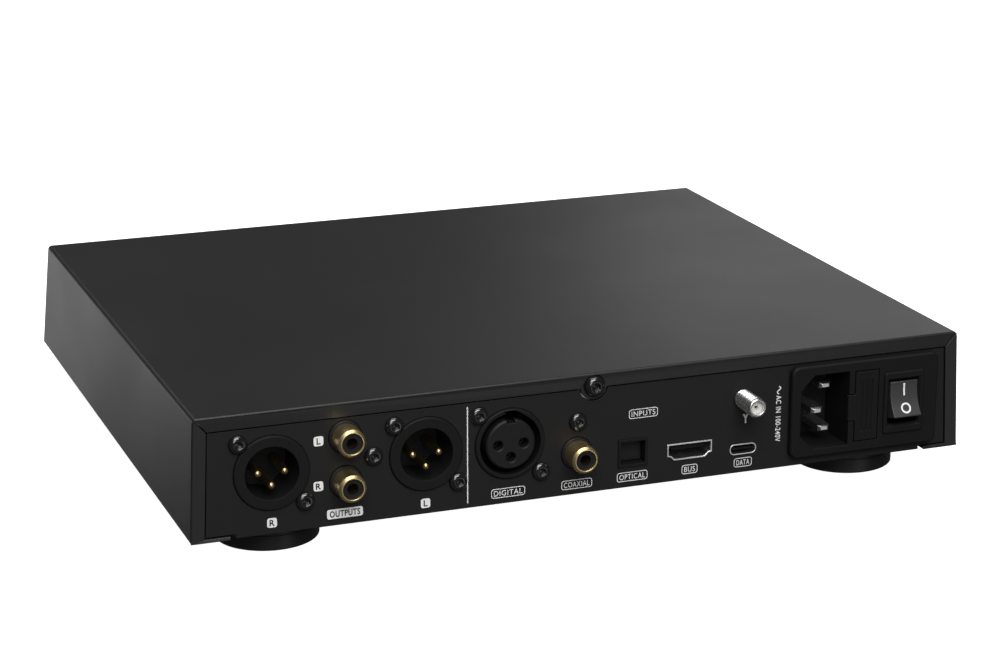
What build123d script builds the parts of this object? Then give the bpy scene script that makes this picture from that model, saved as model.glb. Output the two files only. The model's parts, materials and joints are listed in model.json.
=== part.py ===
from build123d import *
import math
import os

# Desktop digital-to-analogue converter in a low metal case.
# Frame: +Z up, z = 0 on the table. The front faces -Y, the socket panel faces +Y,
# and the origin lies under the middle of the outline. All sizes are in millimetres.

# Case
CASE_W = 250.0
CASE_D = 213.0
CASE_H = 38.0
CASE_TAPER = 1.73
FRONT_SETBACK = 8.9
FOOT_H = 8.6
CASE_SHIFT = 0.15

SIDE_WALL = 2.6
TOP_WALL = 2.0
SIDE_BAND = 4.2
TOP_BAND = 4.6
RIM_DEPTH = 3.0
RIM_BEVEL = 0.6
LIP_T = 1.1
LIP_GAP_X = 113.0
PANEL_FOOT_X = 111.3
EDGE_R = 1.4
LOW_EDGE_R = 0.9
MITRE_W = 0.22
MITRE_DEPTH = 0.85

# Sheet chassis and fascia
SHEET_T = 1.5
PANEL_INSET = 0.5
SEAM = 0.4
FASCIA_T = 3.0
LUG_R = 4.3
COVER_HEAD_R = 3.3
LUG_HEIGHT = 33.9
FLANGE_TOP = 32.0

# Places worked out from the case
BASE_Z = FOOT_H
REAR_Y = CASE_D / 2 + CASE_SHIFT
FRONT_Y = REAR_Y - CASE_D
PANEL_Y = REAR_Y - PANEL_INSET
PANEL_BACK = PANEL_Y - SHEET_T
FLOOR_LOW = BASE_Z + 0.2
FLOOR_TOP = FLOOR_LOW + SHEET_T
STRIP_LOW = BASE_Z + LIP_T
STRIP_X = 120.6
LEAN = math.atan2(FRONT_SETBACK, CASE_H)
BOARD_T = 1.6
BOARD_TOP = BASE_Z + 6.0
BOARD_LOW = BOARD_TOP - BOARD_T

# Socket panel: x across, heights above the bottom of the case
SCREW_HEAD_R = 2.85
XLR_HEIGHT = 18.95
XLR_OUT_RIGHT_X = 100.3
XLR_OUT_LEFT_X = 53.2
XLR_IN_X = 26.9
XLR_SCREW = 9.85
XLR_COLLAR_R = 11.4
XLR_CAVITY_R = 8.15
XLR_CAVITY_DEPTH = 14.5
XLR_PROUD = 0.8
XLR_BLOCK = 12.6
XLR_DEPTH = 21.0
XLR_PIN_R = 1.2
XLR_PIN_OFFSET = 4.05
XLR_IN_COLLAR_R = 11.0
XLR_IN_GAP_R = 9.6
XLR_INSERT_R = 7.8
XLR_INSERT_PROUD = 1.2
XLR_HOLE_R = 1.45

PHONO_X = 77.95
PHONO_HEIGHTS = (27.25, 13.35)
PHONO_SCREW = (69.5, 20.3)
PHONO_R = 4.2
PHONO_REAR_R = 3.9
PHONO_BORE_R = 3.15
PHONO_LENGTH = 7.4
PHONO_COLLAR_R = 5.0
PHONO_COLLAR_PROUD = 0.6
COAX_AT = (5.4, 13.3)
COAX_SCREW = (5.2, 23.3)
COAX_LENGTH = 7.8
PHONO_HOLE_R = 1.7
CONTACT_R = 2.0

OPTICAL_AT = (-13.0, 11.1)
OPTICAL_W = 9.7
OPTICAL_H = 9.0
OPTICAL_WALL = 0.9
OPTICAL_DEPTH = 13.5
OPTICAL_HINGE_HEIGHT = OPTICAL_AT[1] + OPTICAL_H / 2 - OPTICAL_WALL - 0.65
OPTICAL_DOOR_Y = PANEL_Y - 3.3

LINK_AT = (-31.8, 9.6)
LINK_W = 15.0
LINK_H = 5.4
LINK_WALL = 0.5
LINK_SHELF = 1.15
LINK_RISE = 1.4
LINK_DEPTH = 11.0
DATA_AT = (-49.8, 7.9)
DATA_W = 9.0
DATA_H = 3.5
DATA_WALL = 0.4
DATA_CORNER = 1.6
DATA_DEPTH = 7.5

ANTENNA_AT = (-49.6, 24.15)
ANTENNA_R = 3.17
ANTENNA_REAR_R = 3.0
ANTENNA_LENGTH = 10.3

# Mains module: inlet, fuse drawer and rocker switch on one raised plate
MODULE_X = (-115.9, -65.1)
MODULE_HEIGHTS = (3.0, 32.8)
MODULE_PROUD = 2.5
MODULE_FACE = PANEL_Y + MODULE_PROUD
MODULE_CORNER = 2.5
MODULE_DEPTH = 26.0
INLET_X = -76.5
INLET_HEIGHT = 17.65
INLET_W = 16.6
INLET_H = 24.0
INLET_DEPTH = 16.0
INLET_PIN_SPREAD = 7.0
INLET_PIN_OFFSET = 2.0
BLADE_W = 4.0
BLADE_T = 2.0
DRAWER_X = (-94.8, -87.0)
DRAWER_HEIGHTS = (6.65, 29.15)
DRAWER_DEPTH = 14.0
DRAWER_TAB_X = -84.5
DRAWER_TAB_H = 8.4
ROCKER_X = -103.65
ROCKER_HEIGHT = 17.9
ROCKER_FRAME_W = 13.8
ROCKER_FRAME_H = 20.0
ROCKER_W = 9.5
ROCKER_WELL_H = 14.4
ROCKER_PIVOT_Y = MODULE_FACE - 2.2
ROCKER_TILT = 18.0
ROCKER_HALF = 5.75
ROCKER_NOSE = 4.7
ROCKER_DIP = 1.3
RUNNING_GAP = 0.3

# Front: display window and push-and-turn knob
WINDOW_X = -14.0
WINDOW_W = 96.0
WINDOW_H = 20.0
KNOB_X = 90.0
KNOB_HEIGHT = 18.5
KNOB_R = 12.0
KNOB_FOOT = 0.7
KNOB_TOP = 12.2
FRONT_BOARD_DEPTH = 11.6

# Feet
FOOT_R = 15.8
FOOT_X = 96.1
FOOT_INSET = 22.9
PAD_R = 13.2
PAD_H = 1.4

# Electronics
MAIN_BOARD_X = (-58.0, 116.0)
MAIN_BOARD_Y = (FRONT_Y + 78.0, PANEL_BACK - 1.0)
POWER_BOARD_X = (-116.0, -62.0)
POWER_BOARD_Y = (FRONT_Y + 84.0, PANEL_BACK - 40.0)
TOROID_AT = (-72.0, FRONT_Y + 52.0)
TOROID_R = 30.0
TOROID_BORE_R = 9.0
TOROID_H = 24.0

BIG = 400.0


def up(height):
    """Absolute z of a height above the bottom of the case."""
    return BASE_Z + height


def block(x0, x1, y0, y1, z0, z1):
    """Box between two corners."""
    middle = Pos((x0 + x1) / 2, (y0 + y1) / 2, (z0 + z1) / 2)
    return middle * Box(abs(x1 - x0), abs(y1 - y0), abs(z1 - z0))


def rod(x, height, radius, y0, y1):
    """Round bar along Y at a place on the socket panel."""
    return Pos(x, (y0 + y1) / 2, up(height)) * Rot(90, 0, 0) * Cylinder(radius, abs(y1 - y0))


def post(x, y, radius, z0, z1):
    """Upright round bar."""
    return Pos(x, y, (z0 + z1) / 2) * Cylinder(radius, abs(z1 - z0))


def along_y(face, y0, y1):
    """Extrude a face drawn in X and Z from y1 down to y0."""
    plane = Plane(origin=(0, y1, 0), x_dir=(1, 0, 0), z_dir=(0, -1, 0))
    return extrude(plane * face, amount=y1 - y0)


def polygon(*points):
    """Flat face through the given corners."""
    return make_face(Polyline(*points, close=True))


def solids(*shapes):
    """One node made of several separate pieces."""
    found = []
    for shape in shapes:
        found.extend(shape.solids())
    return Compound(children=found)


def half_width(height, inset=0.0):
    """Half of the case's width at a height, less an inset."""
    return CASE_W / 2 - CASE_TAPER * height / CASE_H - inset


def trapezoid(low, high, inset):
    """Cross-section of the case between two heights, set in from the sides."""
    low_x = half_width(low, inset)
    high_x = half_width(high, inset)
    return polygon((-low_x, up(low)), (low_x, up(low)), (high_x, up(high)), (-high_x, up(high)))


def leaning_slab(near, far, low=-5.0, high=60.0):
    """Slab parallel to the leaning front, between two depths behind it."""
    y_near = FRONT_Y + near / math.cos(LEAN)
    y_far = FRONT_Y + far / math.cos(LEAN)
    tilt = math.tan(LEAN)
    points = ((y_near + low * tilt, up(low)), (y_far + low * tilt, up(low)),
              (y_far + high * tilt, up(high)), (y_near + high * tilt, up(high)))
    face = Plane.YZ * polygon(*points)
    return Pos(-BIG / 2, 0, 0) * extrude(face, amount=BIG)


def front_plane(x, height, depth=0.0):
    """Frame on the leaning front with its Z axis pointing out of the case."""
    y = FRONT_Y + height * math.tan(LEAN)
    outward = Vector(0, -math.cos(LEAN), math.sin(LEAN))
    return Plane(origin=Vector(x, y, up(height)) - outward * depth, x_dir=(1, 0, 0), z_dir=outward)


def button_screw(x, height, head_r, head_h, shank_r, length, seat):
    """Hex-socket button screw along Y with its head outside the seat plane."""
    head = rod(x, height, head_r, seat, seat + head_h)
    head = fillet(head.edges().sort_by(Axis.Y)[-1], head_h * 0.8)
    plane = Plane(origin=(x, seat + head_h, up(height)), x_dir=(1, 0, 0), z_dir=(0, 1, 0))
    socket = extrude(plane * RegularPolygon(head_r * 0.38, 6), amount=-head_h * 0.7)
    return head - socket + rod(x, height, shank_r, seat - length, seat)


def pan_screw(x, y, seat, head_r, head_h, shank_r, length, upward=True):
    """Pan-head screw along Z; its head lies below the seat when it points up."""
    turn = 1 if upward else -1
    head = post(x, y, head_r, seat - turn * head_h, seat)
    slot = block(x - head_r * 0.6, x + head_r * 0.6, y - 0.4, y + 0.4,
                 seat - turn * head_h, seat - turn * head_h * 0.4)
    return head - slot + post(x, y, shank_r, seat, seat + turn * length)


# Case ---------------------------------------------------------------------

def opening_face(seam=0.0, bottom=0.0, gap_x=LIP_GAP_X):
    """Outline inside the end rims, open at the bottom between the two lips."""
    lip = LIP_T + seam
    top = CASE_H - TOP_BAND - seam
    low_x = half_width(lip, SIDE_BAND + seam)
    top_x = half_width(top, SIDE_BAND + seam)
    return polygon((gap_x, up(bottom)), (gap_x, up(lip)), (low_x, up(lip)), (top_x, up(top)),
                   (-top_x, up(top)), (-low_x, up(lip)), (-gap_x, up(lip)), (-gap_x, up(bottom)))


def case_envelope():
    """Outer form: sides lean in a little and the front leans back."""
    body = along_y(trapezoid(0, CASE_H, 0), FRONT_Y, REAR_Y)
    body = fillet(body.edges().filter_by(Axis.Y).group_by(Axis.Z)[-1], EDGE_R)
    body = fillet(body.edges().filter_by(Axis.Y).group_by(Axis.Z)[0], LOW_EDGE_R)
    return body & leaning_slab(0, BIG)


def base_screw_places():
    return [(side * 116.3, FRONT_Y + along) for side in (-1, 1) for along in (18, 106, 195)]


def top_shell():
    """Cover: top, two sides, in-turned bottom lips and a thicker rim at each end."""
    shell = case_envelope()
    inside = along_y(trapezoid(LIP_T, CASE_H - TOP_WALL, SIDE_WALL), FRONT_Y, REAR_Y - RIM_DEPTH)
    shell -= inside & leaning_slab(RIM_DEPTH + FASCIA_T, BIG)
    shell -= along_y(opening_face(), FRONT_Y - 5, REAR_Y + 5)
    outer = Plane(origin=(0, REAR_Y, 0), x_dir=(1, 0, 0), z_dir=(0, -1, 0))
    inner = Plane(origin=(0, REAR_Y - RIM_BEVEL, 0), x_dir=(1, 0, 0), z_dir=(0, -1, 0))
    shell -= loft([outer * trapezoid(0.2, CASE_H - 0.3, 0.3),
                   inner * trapezoid(LIP_T, CASE_H - TOP_BAND, SIDE_BAND)])
    lug = rod(0, LUG_HEIGHT, LUG_R, PANEL_BACK, PANEL_Y) & case_envelope()
    shell = shell + lug - rod(0, LUG_HEIGHT, 1.6, REAR_Y - 10, REAR_Y + 1)
    shell -= rod(0, LUG_HEIGHT, COVER_HEAD_R + 0.2, PANEL_Y, REAR_Y + 1)
    for x, y in base_screw_places():
        shell -= post(x, y, 1.6, BASE_Z - 1, STRIP_LOW + 0.5)
    for groove in mitre_grooves():
        shell -= groove
    return shell


def mitre_grooves():
    """Fine diagonal grooves where the top band of the rear rim meets the side bands."""
    outer = (half_width(CASE_H), CASE_H)
    inner = (half_width(CASE_H - TOP_BAND, SIDE_BAND), CASE_H - TOP_BAND)
    length = math.dist(outer, inner)
    angle = math.degrees(math.atan2(outer[1] - inner[1], outer[0] - inner[0]))
    middle_x = (outer[0] + inner[0]) / 2
    middle_z = up((outer[1] + inner[1]) / 2)
    grooves = []
    for side in (-1, 1):
        place = Pos(side * middle_x, REAR_Y, middle_z) * Rot(0, -side * angle, 0)
        grooves.append(place * Box(length + 1.0, 2 * MITRE_DEPTH, MITRE_W))
    return grooves


def cover_nut_plate():
    """Tapped plate behind the panel that the cover screw pulls against."""
    low = block(-8, 8, PANEL_BACK - 4, PANEL_BACK, up(27.5), up(CASE_H - TOP_BAND - 0.1))
    high = block(-8, 8, PANEL_BACK - 4, REAR_Y - RIM_DEPTH - 0.05, up(33), up(35.9))
    return low + high - rod(0, LUG_HEIGHT, 1.55, REAR_Y - 10, REAR_Y)


def cover_screw():
    return button_screw(0, LUG_HEIGHT, COVER_HEAD_R, 2.2, 1.5, 6.5, PANEL_Y)


def base_screws():
    return solids(*[pan_screw(x, y, BASE_Z, 2.75, 1.6, 1.5, 4.0) for x, y in base_screw_places()])


def panel_cutouts():
    """Everything cut through the socket panel."""
    y0 = PANEL_BACK - 1
    y1 = PANEL_Y + 1
    cuts = [rod(0, LUG_HEIGHT, LUG_R + SEAM, y0, y1)]
    for x in (XLR_OUT_RIGHT_X, XLR_OUT_LEFT_X):
        cuts.append(rod(x, XLR_HEIGHT, XLR_COLLAR_R + 0.1, y0, y1))
    cuts.append(rod(XLR_IN_X, XLR_HEIGHT, XLR_IN_COLLAR_R + 0.1, y0, y1))
    for height in PHONO_HEIGHTS:
        cuts.append(rod(PHONO_X, height, PHONO_COLLAR_R + 0.1, y0, y1))
    cuts.append(rod(*COAX_AT, PHONO_COLLAR_R + 0.1, y0, y1))
    cuts.append(rod(*ANTENNA_AT, ANTENNA_REAR_R + 0.05, y0, y1))
    cuts.append(along_y(Pos(OPTICAL_AT[0], up(OPTICAL_AT[1])) * Rectangle(OPTICAL_W + 0.1, OPTICAL_H + 0.1),
                        y0, y1))
    cuts.append(along_y(link_face(-0.05), y0, y1))
    cuts.append(along_y(data_face(-0.05), y0, y1))
    cuts.append(block(MODULE_X[0] + 1.6, MODULE_X[1] - 1.6, y0, y1,
                      up(MODULE_HEIGHTS[0] + 1.6), up(MODULE_HEIGHTS[1] - 1.6)))
    for x, height in connector_screw_places():
        cuts.append(rod(x, height, 1.55, y0, y1))
    return cuts


def chassis():
    """Folded sheet: socket panel, floor with raised side strips and a leaning front flange."""
    panel = along_y(opening_face(SEAM, 0.2, PANEL_FOOT_X), PANEL_BACK, PANEL_Y)
    body_y = leaning_slab(FASCIA_T + PANEL_INSET, BIG) & block(-BIG, BIG, -BIG, PANEL_BACK + 0.5, 0, BIG)
    floor = block(-PANEL_FOOT_X, PANEL_FOOT_X, FRONT_Y, PANEL_Y, FLOOR_LOW, FLOOR_TOP)
    for side in (-1, 1):
        floor += block(side * (PANEL_FOOT_X - 2), side * STRIP_X, FRONT_Y, PANEL_Y,
                       STRIP_LOW, STRIP_LOW + SHEET_T)
    flange = leaning_slab(FASCIA_T + PANEL_INSET, FASCIA_T + PANEL_INSET + SHEET_T)
    flange &= along_y(trapezoid(LIP_T, FLANGE_TOP, SIDE_BAND + 0.6), FRONT_Y - 1, 0)
    sheet = panel + (floor & body_y) + flange
    for cut in panel_cutouts():
        sheet -= cut
    sheet -= front_cut(WINDOW_X, WINDOW_W - 4, WINDOW_H - 2, 2.0, 8.0)
    sheet -= front_plane(KNOB_X, KNOB_HEIGHT, 8) * Pos(0, 0, 4) * Cylinder(3.7, 8)
    for x, y in base_screw_places():
        sheet -= post(x, y, 1.55, BASE_Z, FLOOR_TOP + 3)
    for x, y in foot_places():
        sheet -= post(x, y, 2.05, BASE_Z - 1, FLOOR_TOP + 1)
    for x, y in standoff_places():
        sheet -= post(x, y, 1.55, BASE_Z - 1, FLOOR_TOP + 1)
    for x, height in front_screw_places():
        sheet -= front_plane(x, height, 6) * Cylinder(1.6, 6)
    return sheet


# Front --------------------------------------------------------------------

def front_cut(x, width, height, near, far, corner=1.0, up_at=KNOB_HEIGHT):
    """Rounded cutter through the leaning front between two depths."""
    plane = front_plane(x, up_at, near)
    return extrude(plane * RectangleRounded(width, height, corner), amount=near - far)


def front_screw_places():
    return [(-112.0, 8.0), (-112.0, 28.0), (112.0, 8.0), (112.0, 28.0)]


def front_panel():
    """Leaning fascia with a stepped window opening and the knob's hole."""
    slab = leaning_slab(PANEL_INSET, PANEL_INSET + FASCIA_T)
    panel = slab & along_y(opening_face(SEAM, 0.2, PANEL_FOOT_X), FRONT_Y - 2, FRONT_Y + 30)
    panel -= front_cut(WINDOW_X, WINDOW_W, WINDOW_H, -2.0, PANEL_INSET + 1.5)
    panel -= front_cut(WINDOW_X, WINDOW_W - 6, WINDOW_H - 4, 0.0, 8.0)
    panel -= front_plane(KNOB_X, KNOB_HEIGHT) * Cylinder(3.6, 20)
    for x, height in front_screw_places():
        panel -= front_plane(x, height, PANEL_INSET + FASCIA_T) * Cylinder(1.3, 4.0)
    return panel


def display_window():
    return front_cut(WINDOW_X, WINDOW_W - 0.2, WINDOW_H - 0.2, PANEL_INSET, PANEL_INSET + 1.5)


def display_module():
    """Display glass on its own small board, with a header strip at each end."""
    glass = front_cut(WINDOW_X, WINDOW_W - 7, WINDOW_H - 5, 2.2, 6.5)
    carrier = front_cut(WINDOW_X, WINDOW_W - 4.6, WINDOW_H - 2.6, 5.4, 8.0)
    legs = front_cut(WINDOW_X - 40, 4, 14, 8.0, FRONT_BOARD_DEPTH)
    legs += front_cut(WINDOW_X + 40, 4, 14, 8.0, FRONT_BOARD_DEPTH)
    return glass + carrier + legs


def front_board_places():
    return [(-74.0, 9.0), (-74.0, 28.0), (70.0, 9.0), (70.0, 28.0)]


def front_board():
    """Control board behind the fascia."""
    board = front_cut(14.0, 186.0, 25.0, FRONT_BOARD_DEPTH, FRONT_BOARD_DEPTH + BOARD_T)
    for x, height in front_board_places():
        board -= front_plane(x, height, FRONT_BOARD_DEPTH + 1) * Cylinder(1.3, 6)
    return board


def front_board_spacers():
    start = PANEL_INSET + FASCIA_T + SHEET_T
    length = FRONT_BOARD_DEPTH - start
    spacers = []
    for x, height in front_board_places():
        plane = front_plane(x, height, start + length / 2)
        spacers.append(plane * (Cylinder(2.6, length) - Cylinder(1.25, length)))
    return spacers


def front_screws():
    """Screws of the fascia and of the control board, driven from inside the case."""
    screw = Pos(0, 0, -0.8) * Cylinder(2.3, 1.6) + Pos(0, 0, 1.6) * Cylinder(1.2, 3.2)
    seats = [(place, PANEL_INSET + FASCIA_T + SHEET_T) for place in front_screw_places()]
    seats += [(place, FRONT_BOARD_DEPTH + BOARD_T) for place in front_board_places()]
    return solids(*[front_plane(x, height, depth) * screw for (x, height), depth in seats])


def encoder_body():
    """Square switch body with a threaded bushing through the fascia."""
    plane = front_plane(KNOB_X, KNOB_HEIGHT)
    start = PANEL_INSET + FASCIA_T + SHEET_T
    depth = FRONT_BOARD_DEPTH - start
    body = Pos(0, 0, -start - depth / 2) * Box(13, 13, depth)
    body += Pos(0, 0, -start / 2 + 1.25) * Cylinder(3.5, start + 2.5)
    body -= Pos(0, 0, -8.3) * Cylinder(4.5, 4.6)
    body -= Pos(0, 0, 0) * Cylinder(3.05, 14)
    return plane * body


def encoder_nut():
    plane = front_plane(KNOB_X, KNOB_HEIGHT)
    nut = extrude(RegularPolygon(5.6, 6), amount=1.8) - Cylinder(3.55, 8)
    return plane * Pos(0, 0, -PANEL_INSET) * nut


def encoder_plunger():
    """Disc under the shaft that presses the switch; its spigot centres the shaft."""
    plane = front_plane(KNOB_X, KNOB_HEIGHT)
    disc = Pos(0, 0, -8.85) * Cylinder(4.15, 1.5)
    spigot = Pos(0, 0, -7.1) * Cylinder(1.45, 2.0)
    return plane * (disc + spigot)


def encoder_shaft():
    plane = front_plane(KNOB_X, KNOB_HEIGHT)
    shaft = Pos(0, 0, 0.75) * Cylinder(3.0, 17.5)
    return plane * (shaft - Pos(0, 0, -6.9) * Cylinder(1.5, 2.8))


def knob():
    """Turned knob: bevelled cap, hollow skirt and a blind bore for the shaft."""
    plane = front_plane(KNOB_X, KNOB_HEIGHT)
    length = KNOB_TOP - KNOB_FOOT
    body = Pos(0, 0, KNOB_FOOT + length / 2) * Cylinder(KNOB_R, length)
    body = chamfer(body.edges().sort_by(Axis.Z)[-1], 0.8)
    body -= Pos(0, 0, KNOB_FOOT) * Cylinder(8.0, 6.8)
    body -= Pos(0, 0, 4.85) * Cylinder(3.02, 9.5)
    body -= Pos(0, -8, 6.5) * Rot(90, 0, 0) * Cylinder(1.5, 12)
    return plane * body


def knob_set_screw():
    plane = front_plane(KNOB_X, KNOB_HEIGHT)
    screw = Pos(0, -5.6, 6.5) * Rot(90, 0, 0) * Cylinder(1.45, 5.0)
    socket = extrude(Plane(origin=(0, -8.1, 6.5), z_dir=(0, 1, 0)) * RegularPolygon(0.85, 6), amount=1.4)
    return plane * (screw - socket)


# Feet ---------------------------------------------------------------------

def foot_places():
    y_rear = REAR_Y - FOOT_INSET
    y_front = FRONT_Y + FOOT_INSET
    return [(side * FOOT_X, y) for y in (y_rear, y_front) for side in (-1, 1)]


def feet():
    """Turned feet with a shallow recess for the pad and a sunk screw."""
    made = []
    for x, y in foot_places():
        foot = post(x, y, FOOT_R, 0.6, FLOOR_LOW)
        foot = fillet(foot.edges().sort_by(Axis.Z)[0], 0.5)
        foot -= post(x, y, PAD_R + 0.1, 0, PAD_H)
        foot -= post(x, y, 4.2, 0, 4.6)
        foot -= post(x, y, 2.1, 0, 20)
        made.append(foot)
    return solids(*made)


def foot_pads():
    return solids(*[post(x, y, PAD_R, 0, PAD_H) for x, y in foot_places()])


def foot_screws():
    return solids(*[pan_screw(x, y, 4.6, 4.0, 2.2, 2.0, 7.2) for x, y in foot_places()])


# Balanced outputs and digital input -----------------------------------------

def connector_screw_places():
    places = []
    for x in (XLR_OUT_RIGHT_X, XLR_OUT_LEFT_X, XLR_IN_X):
        places.append((x + XLR_SCREW, XLR_HEIGHT + XLR_SCREW))
        places.append((x - XLR_SCREW, XLR_HEIGHT - XLR_SCREW))
    return places + [PHONO_SCREW, COAX_SCREW]


def connector_screws():
    """Button screws that hold the round sockets to the panel."""
    return solids(*[button_screw(x, height, SCREW_HEAD_R, 1.65, 1.5, 7.0, PANEL_Y)
                    for x, height in connector_screw_places()])


def xlr_pin_places(x):
    return [(x - XLR_PIN_OFFSET, XLR_HEIGHT), (x + XLR_PIN_OFFSET, XLR_HEIGHT),
            (x, XLR_HEIGHT - XLR_PIN_OFFSET)]


def xlr_block(x, collar_r):
    """Square moulding behind the panel with a round collar through it."""
    y_back = PANEL_BACK - XLR_DEPTH
    body = block(x - XLR_BLOCK, x + XLR_BLOCK, y_back, PANEL_BACK, BOARD_TOP, up(XLR_HEIGHT + XLR_BLOCK))
    collar = rod(x, XLR_HEIGHT, collar_r, PANEL_BACK - 2, PANEL_Y + XLR_PROUD)
    collar = chamfer(collar.edges().sort_by(Axis.Y)[-1], 0.35)
    body += collar
    for side in (-1, 1):
        screw = (x + side * XLR_SCREW, XLR_HEIGHT + side * XLR_SCREW)
        body -= rod(*screw, 1.55, PANEL_BACK - 6, PANEL_BACK)
        body -= rod(*screw, SCREW_HEAD_R + 0.1, PANEL_Y - 0.1, PANEL_Y + 2)
    return body


def xlr_output(x):
    """Male socket housing with its round well."""
    front = PANEL_Y + XLR_PROUD
    body = xlr_block(x, XLR_COLLAR_R)
    body -= rod(x, XLR_HEIGHT, XLR_CAVITY_R, front - XLR_CAVITY_DEPTH, front)
    for pin_x, pin_height in xlr_pin_places(x):
        body -= rod(pin_x, pin_height, XLR_PIN_R + 0.03, PANEL_BACK - XLR_DEPTH, PANEL_Y)
    return body


def xlr_output_housings():
    return solids(xlr_output(XLR_OUT_RIGHT_X), xlr_output(XLR_OUT_LEFT_X))


def xlr_pin(x, height, row):
    """Round contact with a domed tip and a tail down to the board."""
    tip = PANEL_Y + 0.6
    back = PANEL_BACK - XLR_DEPTH - 1.5 - 2.0 * row
    pin = rod(x, height, XLR_PIN_R, back, tip)
    pin = fillet(pin.edges().sort_by(Axis.Y)[-1], XLR_PIN_R * 0.85)
    return pin + post(x, back + 0.6, 0.5, BOARD_TOP, up(height))


def xlr_output_pins():
    pins = []
    for x in (XLR_OUT_RIGHT_X, XLR_OUT_LEFT_X):
        for pin_x, pin_height in xlr_pin_places(x):
            pins.append(xlr_pin(pin_x, pin_height, 1 if pin_x == x else 0))
    return solids(*pins)


def xlr_input_housing():
    """Female socket housing: an annular gap surrounds the insert."""
    front = PANEL_Y + XLR_PROUD
    body = xlr_block(XLR_IN_X, XLR_IN_COLLAR_R)
    gap = rod(XLR_IN_X, XLR_HEIGHT, XLR_IN_GAP_R, front - XLR_CAVITY_DEPTH, front)
    seat = rod(XLR_IN_X, XLR_HEIGHT, XLR_INSERT_R + 0.05, PANEL_BACK - XLR_DEPTH, front)
    key = block(XLR_IN_X - 1.5, XLR_IN_X + 1.5, front - 10, front + 1,
                up(XLR_HEIGHT + 8.8), up(XLR_HEIGHT + 10.3))
    return body - gap - seat - key


def xlr_input_insert():
    """Round insert with three chamfered contact holes and a keyway."""
    front = PANEL_Y + XLR_INSERT_PROUD
    insert = rod(XLR_IN_X, XLR_HEIGHT, XLR_INSERT_R, PANEL_BACK - XLR_DEPTH, front)
    insert = chamfer(insert.edges().sort_by(Axis.Y)[-1], 0.5)
    for x, height in xlr_pin_places(XLR_IN_X):
        insert -= rod(x, height, XLR_HOLE_R, PANEL_BACK - XLR_DEPTH, front)
        place = Pos(x, front - 0.15, up(height)) * Rot(-90, 0, 0)
        insert -= place * Cone(XLR_HOLE_R, XLR_HOLE_R + 0.3, 0.3)
    insert -= block(XLR_IN_X - 1.3, XLR_IN_X + 1.3, front - 9, front + 1,
                    up(XLR_HEIGHT + 6.6), up(XLR_HEIGHT + 9))
    return insert


def xlr_input_contacts():
    """Sprung tubes inside the insert, with tails to the board."""
    contacts = []
    for x, height in xlr_pin_places(XLR_IN_X):
        row = 1 if x == XLR_IN_X else 0
        back = PANEL_BACK - XLR_DEPTH - 1.5 - 2.0 * row
        tube = rod(x, height, XLR_HOLE_R - 0.03, back, PANEL_Y - 3)
        tube -= rod(x, height, 1.2, PANEL_Y - 14, PANEL_Y)
        contacts.append(tube + post(x, back + 0.6, 0.5, BOARD_TOP, up(height)))
    return solids(*contacts)


# Phono sockets ---------------------------------------------------------------

def phono_sleeve(x, height, length):
    """Turned outer contact with a bevelled mouth and a thinner tail in the base."""
    mouth = PANEL_Y + length
    sleeve = rod(x, height, PHONO_R, PANEL_Y + PHONO_COLLAR_PROUD, mouth)
    sleeve = chamfer(sleeve.edges().sort_by(Axis.Y)[-1], 0.5)
    sleeve += rod(x, height, PHONO_REAR_R, PANEL_BACK - 4, PANEL_Y + PHONO_COLLAR_PROUD)
    return sleeve - rod(x, height, PHONO_BORE_R, PANEL_BACK - 5, mouth + 1)


def phono_insulator(x, height, length):
    """Plug inside a sleeve: a narrow mouth in front of the contact's seat."""
    mouth = PANEL_Y + length
    plug = rod(x, height, PHONO_BORE_R - 0.03, PANEL_BACK - 4, mouth - 0.7)
    plug -= rod(x, height, PHONO_HOLE_R, PANEL_BACK - 5, mouth)
    return plug - rod(x, height, CONTACT_R + 0.03, PANEL_BACK - 5, mouth - 2.2)


def phono_contact(x, height, length):
    tube = rod(x, height, CONTACT_R, PANEL_BACK - 4, PANEL_Y + length - 2.3)
    return tube - rod(x, height, PHONO_HOLE_R, PANEL_BACK, PANEL_Y + length)


def phono_base(x0, x1, low, high, places, screw):
    """Moulded block that carries one or two sleeves."""
    base = block(x0, x1, PANEL_BACK - 12, PANEL_BACK, up(low), up(high))
    for x, height in places:
        collar = rod(x, height, PHONO_COLLAR_R, PANEL_BACK, PANEL_Y + PHONO_COLLAR_PROUD)
        base += chamfer(collar.edges().sort_by(Axis.Y)[-1], 0.3)
        base -= rod(x, height, PHONO_REAR_R + 0.03, PANEL_BACK - 4, PANEL_Y + 2)
    return base - rod(*screw, 1.55, PANEL_BACK - 6, PANEL_BACK)


def phono_output_places():
    return [(PHONO_X, height) for height in PHONO_HEIGHTS]


def phono_output_base():
    return phono_base(66.4, 84.6, 6.0, 33.0, phono_output_places(), PHONO_SCREW)


def phono_output_sleeves():
    return solids(*[phono_sleeve(x, height, PHONO_LENGTH) for x, height in phono_output_places()])


def phono_insulators():
    made = [phono_insulator(x, height, PHONO_LENGTH) for x, height in phono_output_places()]
    return solids(*made, phono_insulator(*COAX_AT, COAX_LENGTH))


def phono_contacts():
    made = [phono_contact(x, height, PHONO_LENGTH) for x, height in phono_output_places()]
    return solids(*made, phono_contact(*COAX_AT, COAX_LENGTH))


def coax_input_base():
    return phono_base(-1.1, 11.7, 6.0, 27.0, [COAX_AT], COAX_SCREW)


# Optical, link, data and antenna sockets ---------------------------------------

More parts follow.
